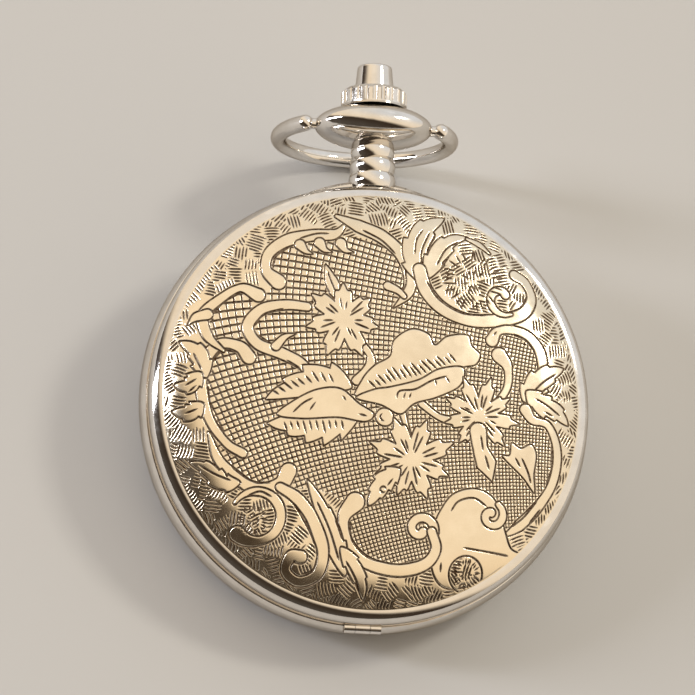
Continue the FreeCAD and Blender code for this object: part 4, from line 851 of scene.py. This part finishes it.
def engraved_finish():
    """Warm polished nickel with dark patina in the cuts."""
    made = Finish("engraved_nickel").set(Metallic=1.0)
    cut = made.node("Attribute", {}, attribute_name="tarnish")["Fac"]
    cloud = made.noise((0.35, 0.35, 0.35), 5)
    lines = made.noise((0.9, 18, 18), 6, 0.7)
    cross = made.noise((16, 1.1, 16), 5, 0.7)
    dirt = made.noise((3, 3, 3), 4)
    tone = made.mixed(made.between(cloud, 0, 1), (0.87, 0.755, 0.575), (0.94, 0.83, 0.65))
    stain = made.maths("MULTIPLY", made.between(cut, 0, 1, 0.04, 0.4),
                       made.between(dirt, 0.8, 1.0))
    made.feed("Base Color", made.mixed(stain, tone, (0.055, 0.026, 0.012)))
    haze = made.maths("ADD", made.between(cloud, 0.15, 0.24), made.between(lines, 0, 0.07, 0.5, 0.75))
    made.feed("Roughness", made.maths("ADD", haze, made.maths("MULTIPLY", stain, 0.35)))
    scratched = made.bump(lines, 0.0012)
    made.feed("Normal", made.bump(cross, 0.001, below=scratched))
    return made.material


def plate_finish():
    """Rhodium plate with broad parallel stripes."""
    made = Finish("rhodium_plate").set(Metallic=1.0)
    stripes = made.node("TexWave", {"Scale": 0.16, "Distortion": 0.15, "Vector": made.stretched((1, 1, 1))},
                        wave_type="BANDS", bands_direction="X", wave_profile="SAW")["Fac"]
    grain = made.noise((0.5, 22, 22), 5, 0.7)
    cloud = made.noise((0.6, 0.6, 0.6), 4)
    made.feed("Base Color", made.mixed(made.maths("MULTIPLY", stripes, 0.8), (0.62, 0.61, 0.58),
                                       (0.83, 0.82, 0.79)))
    made.feed("Roughness", made.maths("ADD", made.between(cloud, 0.2, 0.3), made.between(grain, 0, 0.12)))
    made.feed("Normal", made.bump(grain, 0.0015, below=made.bump(stripes, 0.01)))
    return made.material


def enamel_finish():
    made = Finish("dial_enamel").set(Coat_Weight=0.6, Coat_Roughness=0.05)
    speck = made.noise((9, 9, 9), 6, 0.7)
    cloud = made.noise((0.25, 0.25, 0.25), 4)
    tone = made.mixed(made.between(cloud, 0, 1), (0.86, 0.83, 0.76), (0.92, 0.9, 0.85))
    made.feed("Base Color", made.mixed(made.between(speck, 0, 0.5, 0.68, 0.8), tone, (0.62, 0.57, 0.49)))
    made.feed("Roughness", made.between(cloud, 0.14, 0.24))
    made.feed("Normal", made.bump(speck, 0.003))
    return made.material


def lacquer_finish(name, light, dark, depth, smooth, rough, metallic=0.0):
    """A glossy dark coat over fine grain: blued steel, dial print and rubber."""
    made = Finish(name).set(Metallic=metallic)
    cloud = made.noise((1.2, 1.2, 1.2), 4)
    grain = made.noise((12, 12, 12), 6, 0.7)
    made.feed("Base Color", made.mixed(made.between(cloud, 0, 1), dark, light))
    made.feed("Roughness", made.between(cloud, smooth, rough))
    made.feed("Normal", made.bump(grain, depth))
    return made.material


def ruby_finish():
    made = Finish("ruby").set(IOR=1.77, Transmission_Weight=0.55)
    cloud = made.noise((6, 6, 6), 3)
    made.feed("Base Color", made.mixed(made.between(cloud, 0, 1), (0.42, 0.01, 0.05), (0.75, 0.04, 0.13)))
    made.feed("Roughness", made.between(cloud, 0.04, 0.1))
    return made.material


def crystal_finish():
    made = Finish("crystal").set(IOR=1.5, Transmission_Weight=1.0)
    smear = made.noise((0.4, 1.6, 1), 5)
    scratch = made.noise((0.8, 30, 8), 6, 0.75)
    made.feed("Base Color", made.mixed(made.between(smear, 0, 1), (0.97, 0.985, 0.98), (1.0, 1.0, 1.0)))
    made.feed("Roughness", made.between(smear, 0.0, 0.035))
    made.feed("Normal", made.bump(scratch, 0.0004))
    return made.material


finishes = {
    "case_nickel": metal("case_nickel", (0.84, 0.81, 0.77), (0.76, 0.725, 0.68), 0.05, 0.12,
                         (0.5, 0.5, 0.5), (16, 0.8, 16), 0.0008, (0.62, 0.58, 0.53)),
    "engraved_nickel": engraved_finish(),
    "steel": metal("steel", (0.66, 0.67, 0.69), (0.54, 0.55, 0.58), 0.14, 0.26),
    "rhodium_plate": plate_finish(),
    "brass": metal("brass", (0.90, 0.70, 0.34), (0.78, 0.57, 0.25), 0.18, 0.32, scratch=(20, 1.2, 20)),
    "ruby": ruby_finish(),
    "crystal": crystal_finish(),
    "dial_enamel": enamel_finish(),
    "blued_steel": lacquer_finish("blued_steel", (0.05, 0.12, 0.42), (0.02, 0.04, 0.2), 0.0015, 0.18, 0.28,
                                  metallic=1.0),
    "gasket": lacquer_finish("gasket", (0.06, 0.06, 0.06), (0.03, 0.03, 0.03), 0.01, 0.6, 0.8),
}
dial_print = lacquer_finish("dial_print", (0.03, 0.028, 0.03), (0.012, 0.012, 0.014), 0.003, 0.3, 0.42)


# ---- the dial ----
dial_top = 2.5
print_thickness = 0.02
print_low = 0.005           # bottom of the print over the dial
minute_reach = 15.9
dot_reach = 16.75
numeral_reach = 13.2
numeral_size = 3.6
register_y = -7.2
register_floor = 2.35
second_reach = 3.05
ten_second_reach = 2.85


def ring_tree():
    """Geometry nodes that set bars or dots round a circle."""
    tree = bpy.data.node_groups.new("marks_round_a_circle", "GeometryNodeTree")
    face = tree.interface
    for label, kind in (("Count", "Int"), ("Radius", "Float"), ("Length", "Float"), ("Width", "Float"),
                        ("Thickness", "Float"), ("Round", "Bool"), ("Finish", "Material")):
        face.new_socket(label, in_out="INPUT", socket_type="NodeSocket" + kind)
    face.new_socket("Geometry", in_out="OUTPUT", socket_type="NodeSocketGeometry")
    (given, out, around, places, tangent, turn, size, bar, half, dot, pick, set_out, real,
     dress) = (tree.nodes.new(kind) for kind in (
         "NodeGroupInput", "NodeGroupOutput", "GeometryNodeCurvePrimitiveCircle", "GeometryNodeResampleCurve",
         "GeometryNodeInputTangent", "FunctionNodeAlignEulerToVector", "ShaderNodeCombineXYZ",
         "GeometryNodeMeshCube", "ShaderNodeMath", "GeometryNodeMeshCylinder", "GeometryNodeSwitch",
         "GeometryNodeInstanceOnPoints", "GeometryNodeRealizeInstances", "GeometryNodeSetMaterial"))
    turn.axis = "Y"
    turn.pivot_axis = "Z"
    half.operation = "MULTIPLY"
    half.inputs[1].default_value = 0.5
    dot.inputs["Vertices"].default_value = 16
    pick.input_type = "GEOMETRY"
    for source, output, end, socket in (
            (given, "Radius", around, "Radius"), (around, "Curve", places, "Curve"),
            (given, "Count", places, "Count"), (tangent, 0, turn, "Vector"), (given, "Length", size, "X"),
            (given, "Width", size, "Y"), (given, "Thickness", size, "Z"), (size, 0, bar, "Size"),
            (given, "Width", half, 0), (half, 0, dot, "Radius"), (given, "Thickness", dot, "Depth"),
            (given, "Round", pick, "Switch"), (bar, "Mesh", pick, "False"), (dot, "Mesh", pick, "True"),
            (places, 0, set_out, "Points"), (pick, 0, set_out, "Instance"), (turn, 0, set_out, "Rotation"),
            (set_out, 0, real, 0), (real, 0, dress, "Geometry"), (given, "Finish", dress, "Material"),
            (dress, 0, out, 0)):
        tree.links.new(source.outputs[output], end.inputs[socket])
    return tree


def marks(name, tree, finish, centre, count, radius, length, width, thickness, dots):
    """A ring of printed or applied marks, made by the tree, as a plain mesh on the dial."""
    holder = placed(name, bpy.data.meshes.new(name))
    maker = holder.modifiers.new("marks", "NODES")
    maker.node_group = tree
    values = {"Count": count, "Radius": radius, "Length": length, "Width": width, "Thickness": thickness,
              "Round": dots, "Finish": finish}
    for item in tree.interface.items_tree:
        if item.in_out == "INPUT":
            maker[item.identifier] = values[item.name]
    made = plain_mesh(holder)
    holder.modifiers.clear()
    made.transform(watch_frame @ Matrix.Translation(centre))
    holder.data = made
    finished(holder, "case")


def numeral(value, x, y, size, finish, low):
    """One numeral, extruded a little and set upright on the dial."""
    name = f"numeral_{value}"
    curve = bpy.data.curves.new(name, "FONT")
    curve.body = str(value)
    curve.size = size
    curve.align_x = "CENTER"
    curve.align_y = "CENTER"
    curve.extrude = print_thickness
    curve.resolution_u = 6
    text = placed(name, curve)
    mesh = plain_mesh(text)
    bpy.data.objects.remove(text)
    mesh.transform(watch_frame @ Matrix.Translation((x, y, low)))
    finished(placed(name, mesh), "case", finish)


def dress_dial():
    """Minute track, hour numerals and the small seconds track."""
    tree = ring_tree()
    dial = (0, 0, dial_top + print_low)
    register = (0, register_y, register_floor + print_low)
    for name, middle, count, reach, length, width, dots in (
            ("minute_track", dial, 60, minute_reach, 0.6, 0.1, False),
            ("five_minute_dots", dial, 12, dot_reach, 0.4, 0.42, True),
            ("second_track", register, 60, second_reach, 0.22, 0.05, False),
            ("ten_second_marks", register, 6, ten_second_reach, 0.55, 0.1, False)):
        marks(name, tree, dial_print, middle, count, reach, length, width, print_thickness, dots)
    for hour in (1, 2, 3, 4, 5, 7, 8, 9, 10, 11, 12):
        angle = math.radians(90 - 30 * hour)
        numeral(hour, numeral_reach * math.cos(angle), numeral_reach * math.sin(angle), numeral_size,
                dial_print, dial[2])


def dress_nodes():
    """Gives every CAD node the finish of its material slot."""
    for node in frame["nodes"].values():
        for holder in node.material_slots:
            holder.material = finishes[holder.material.name.split(".")[0]]


# ---- light, floor and camera ----
def lamp(name, place, aim, width, height, power, colour):
    light = bpy.data.lights.new(name, "AREA")
    light.shape = "RECTANGLE"
    light.size, light.size_y = width, height
    light.energy = power
    light.color = colour
    holder = placed(name, light)
    holder.location = place
    holder.rotation_euler = (Vector(aim) - Vector(place)).to_track_quat("-Z", "Y").to_euler()


def studio():
    """A soft sky, bright above and behind the watch to the right, and dusky in front of it."""
    world = bpy.data.worlds.new("studio")
    bpy.context.scene.world = world
    world.use_nodes = True
    nodes, links = world.node_tree.nodes, world.node_tree.links
    back = nodes["Background"]
    way = nodes.new("ShaderNodeTexCoord")
    toward = nodes.new("ShaderNodeVectorMath")
    toward.operation = "DOT_PRODUCT"
    toward.inputs[1].default_value = (0.60, 0.70, 0.38)
    spread_out = nodes.new("ShaderNodeMapRange")
    spread_out.inputs["From Min"].default_value = -1.0
    ramp = nodes.new("ShaderNodeValToRGB")
    ramp.color_ramp.interpolation = "EASE"
    stops = ramp.color_ramp.elements
    for k, (place, colour) in enumerate(((0.0, (0.09, 0.075, 0.06)), (1.0, (0.80, 0.80, 0.80)),
                                         (0.40, (0.05, 0.034, 0.022)), (0.56, (1.0, 0.83, 0.62)),
                                         (0.70, (1.0, 0.87, 0.70)))):
        stop = stops[k] if k < 2 else stops.new(place)
        stop.position = place
        stop.color = (*colour, 1)
    links.new(way.outputs["Generated"], toward.inputs[0])
    links.new(toward.outputs["Value"], spread_out.inputs["Value"])
    links.new(spread_out.outputs["Result"], ramp.inputs["Fac"])
    links.new(ramp.outputs["Color"], back.inputs["Color"])
    back.inputs["Strength"].default_value = 1.0
    bpy.context.scene.view_settings.view_transform = "Standard"
    middle = (0, 0, 0.01)
    lamp("left_strip", (-0.75, 0.1, 0.22), middle, 0.10, 0.6, 5, (0.93, 0.94, 1.0))
    lamp("right_glint", (0.55, 0.25, 0.75), middle, 0.16, 0.16, 2.5, (1.0, 0.93, 0.80))


def floor():
    bpy.ops.mesh.primitive_plane_add(size=4)
    ground = bpy.context.object
    ground.name = "floor"
    paint = bpy.data.materials.new("floor")
    paint.use_nodes = True
    shader = paint.node_tree.nodes["Principled BSDF"]
    shader.inputs["Base Color"].default_value = (0.54, 0.54, 0.54, 1)
    shader.inputs["Roughness"].default_value = 0.85
    ground.data.materials.append(paint)


camera_distance = 0.45


def camera():
    """Looks down on the lid from a little below and to the left of it."""
    away = Vector((-0.156, -0.400, 0.903)).normalized()
    up = Vector((0, 1, 0))
    up = (up - away * up.dot(away)).normalized()
    right = up.cross(away)
    aim = Vector((0, 0, 0.010)) - right * 0.00202 + up * 0.0001
    view = bpy.data.cameras.new("camera")
    view.lens = 225
    view.sensor_width = 36
    view.clip_start = 0.01
    holder = placed("camera", view)
    roll = Matrix.Rotation(math.radians(-0.5), 3, away)
    basis = roll @ Matrix((right, up, away)).transposed()
    holder.matrix_world = Matrix.Translation(aim + away * camera_distance) @ basis.to_4x4()
    bpy.context.scene.camera = holder


dress_nodes()
dress_dial()
engraved_plate(finishes["engraved_nickel"])
pan = finished(lid_pan(), "lid", finishes["case_nickel"])
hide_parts("lid_shell")
studio()
floor()
camera()
